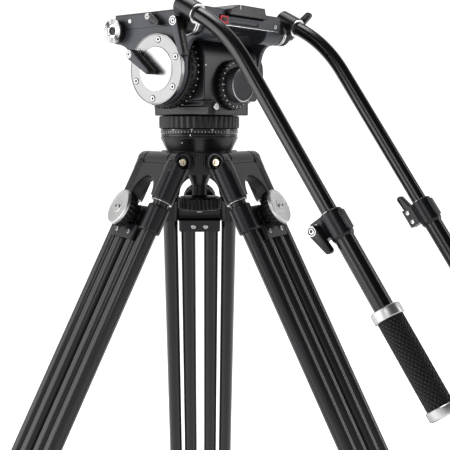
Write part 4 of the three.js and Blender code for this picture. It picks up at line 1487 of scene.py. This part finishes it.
def angle_lever_look(letter, hand, hub):
    """The near lever hangs down. The far one points up, with its arm outside the tube's cover."""
    body = f"angle_lever_{letter}"
    x, z = REAR_ROSETTE
    tip, tip_r = ((x + 10, z - 32), 3.6) if hand < 0 else ((x + 27, z + 21.5), 3.4)
    inner, outer = (89.5, 99.6) if hand < 0 else (98.6, 105.0)
    low, high = mirrored(hand, inner, outer)
    lever(f"angle_lever_arm_{letter}", lever_outline(REAR_ROSETTE, 5.3, tip, tip_r), (low, high), HEAD,
          body, [body])
    face = mirrored(hand, outer - 0.1, outer + 0.35)
    # The lever's outer face in the lighter copy of the cast metal: painted light.
    lever(f"angle_lever_face_{letter}", lever_outline(REAR_ROSETTE, 4.6, tip, tip_r - 0.8), face, HEAD, body,
          [], material=CAST_PAINTED_LIT)
    piece(f"angle_lever_hub_{letter}", lambda bm: rod(bm, 5.2, 89.4, 99.0, 48), hub, MACHINED, body,
          smooth=30)
    end = hub @ at(0, 0, outer + 0.3)
    piece(f"angle_lever_ring_{letter}", hub_ring(4.9, 3.6, -0.3, 0.5), end, STEEL, body)
    piece(f"angle_lever_screw_{letter}", hub_screw(2.9, -0.5), end, STEEL, body, smooth=30)


def length_lever_look(letter, hand, hub):
    """In the hub's own frame X still runs out from the handle, and the arm lies along -Y or +Y of it."""
    body = f"length_lever_{letter}"
    x, z = LENGTH_HUB
    tip = (x + 4.5, z - 23) if hand < 0 else (x - 4, z + 23.5)
    low, high = mirrored(hand, 6.4, 13.6)
    lever(f"length_lever_arm_{letter}", lever_outline(LENGTH_HUB, 5.4, tip, 3.3), (low, high),
          HANDLE[letter], body, [body])
    end = hub @ at(0, 0, 13.6)
    piece(f"length_lever_ring_{letter}", hub_ring(5.0, 3.6, -0.2, 0.5), end, STEEL, body)
    piece(f"length_lever_screw_{letter}", hub_screw(3.0, -0.4), end, STEEL, body, smooth=30)


for letter, hand in HANDLES.items():
    handle_look(letter, hand)


# ---------------------------------------------------------------- floor and light
def floor_material():
    m = Nodes("pale_floor")
    vector = m.coords()
    m.set("Base Color", m.mix(m.noise(vector, 30.0), (0.78, 0.78, 0.78), (0.82, 0.82, 0.82)))
    m.set("Roughness", m.span(m.noise(vector, 12.0), 0.75, 0.9))
    m.set("Normal", m.bump(m.noise(vector, 400.0), 0.05, 0.0001))
    # the far floor fades to the white of the wall behind it
    spot = m.add("ShaderNodeSeparateXYZ")
    m.link(vector, spot.inputs[0])
    ground = m.add("ShaderNodeCombineXYZ")
    m.link(spot.outputs["X"], ground.inputs["X"])
    m.link(spot.outputs["Y"], ground.inputs["Y"])
    length = m.add("ShaderNodeVectorMath")
    length.operation = "LENGTH"
    m.link(ground.outputs[0], length.inputs[0])
    near_glow = (0.35, 0.35, 0.35)
    far = m.ramp(m.math("DIVIDE", length.outputs["Value"], 2.0), [(0.20, near_glow), (0.50, (1, 1, 1))])
    m.set("Emission Color", (1.0, 1.0, 1.0))
    m.set("Emission Strength", m.math("MULTIPLY", far, 0.9))
    return m.material


def add_floor():
    bm = new_mesh()
    box(bm, (-20, -20, -0.05), (20, 20, 0))
    floor = to_object("floor", bm)
    floor.data.materials.append(floor_material())


def area_light(name, spot, target, size, watts):
    data = bpy.data.lights.new(name, "AREA")
    data.shape = "RECTANGLE"
    data.size, data.size_y = size
    data.energy = watts
    light = bpy.data.objects.new(name, data)
    light.location = spot
    light.rotation_euler = (target - Vector(spot)).to_track_quat("-Z", "Y").to_euler()
    bpy.context.scene.collection.objects.link(light)


def studio_world():
    """A pale wall all round, white on the far side, under a dim ceiling on the near side."""
    world = bpy.data.worlds.new("studio")
    bpy.context.scene.world = world
    world.use_nodes = True
    tree = world.node_tree
    direction = tree.nodes.new("ShaderNodeTexCoord")
    split = tree.nodes.new("ShaderNodeSeparateXYZ")
    ramp = tree.nodes.new("ShaderNodeValToRGB")
    spread = tree.nodes.new("ShaderNodeMapRange")
    spread.inputs["From Min"].default_value = -1.0
    spread.inputs["From Max"].default_value = 1.0
    ramp.color_ramp.elements[0].position = ROOM_DARK_END
    ramp.color_ramp.elements[0].color = (*[ROOM_DIM] * 3, 1)
    ramp.color_ramp.elements[1].position = ROOM_BRIGHT_START
    ramp.color_ramp.elements[1].color = (1, 1, 1, 1)
    height = tree.nodes.new("ShaderNodeMath")
    height.operation = "ABSOLUTE"
    wall = tree.nodes.new("ShaderNodeValToRGB")
    wall.color_ramp.elements[0].position = ROOM_WALL_TOP
    wall.color_ramp.elements[0].color = (*[ROOM_WALL] * 3, 1)
    wall.color_ramp.elements[1].position = ROOM_WALL_TOP + 0.10
    wall.color_ramp.elements[1].color = (*[ROOM_DIM] * 3, 1)
    brighter = tree.nodes.new("ShaderNodeMath")
    brighter.operation = "MAXIMUM"
    background = tree.nodes["Background"]
    background.inputs["Strength"].default_value = ROOM_STRENGTH
    tree.links.new(split.outputs["Z"], height.inputs[0])
    tree.links.new(height.outputs[0], wall.inputs["Fac"])
    tree.links.new(direction.outputs["Generated"], split.inputs[0])
    tree.links.new(split.outputs["Y"], spread.inputs["Value"])
    tree.links.new(spread.outputs["Result"], ramp.inputs["Fac"])
    tree.links.new(ramp.outputs["Color"], brighter.inputs[0])
    tree.links.new(wall.outputs["Color"], brighter.inputs[1])
    tree.links.new(brighter.outputs[0], background.inputs["Color"])


def add_lights():
    centre = rim_centre + Vector((0, 0, 0.05))
    area_light("left_softbox", centre + Vector((-1.6, -0.35, 0.25)), centre, (1.5, 1.5), 17)
    area_light("right_softbox", centre + Vector((1.7, 0.1, 0.4)), centre, (0.3, 1.6), 7)
    area_light("top_softbox", centre + Vector((-0.2, 0.2, 1.6)), centre, (1.2, 0.8), 16)
    area_light("front_fill", centre + Vector((-0.7, -1.9, 1.0)), centre, (0.7, 0.9), 7)


add_floor()
studio_world()
add_lights()
bpy.context.scene.view_settings.view_transform = "Standard"
bpy.context.scene.view_settings.gamma = DISPLAY_GAMMA

bpy.context.view_layer.update()
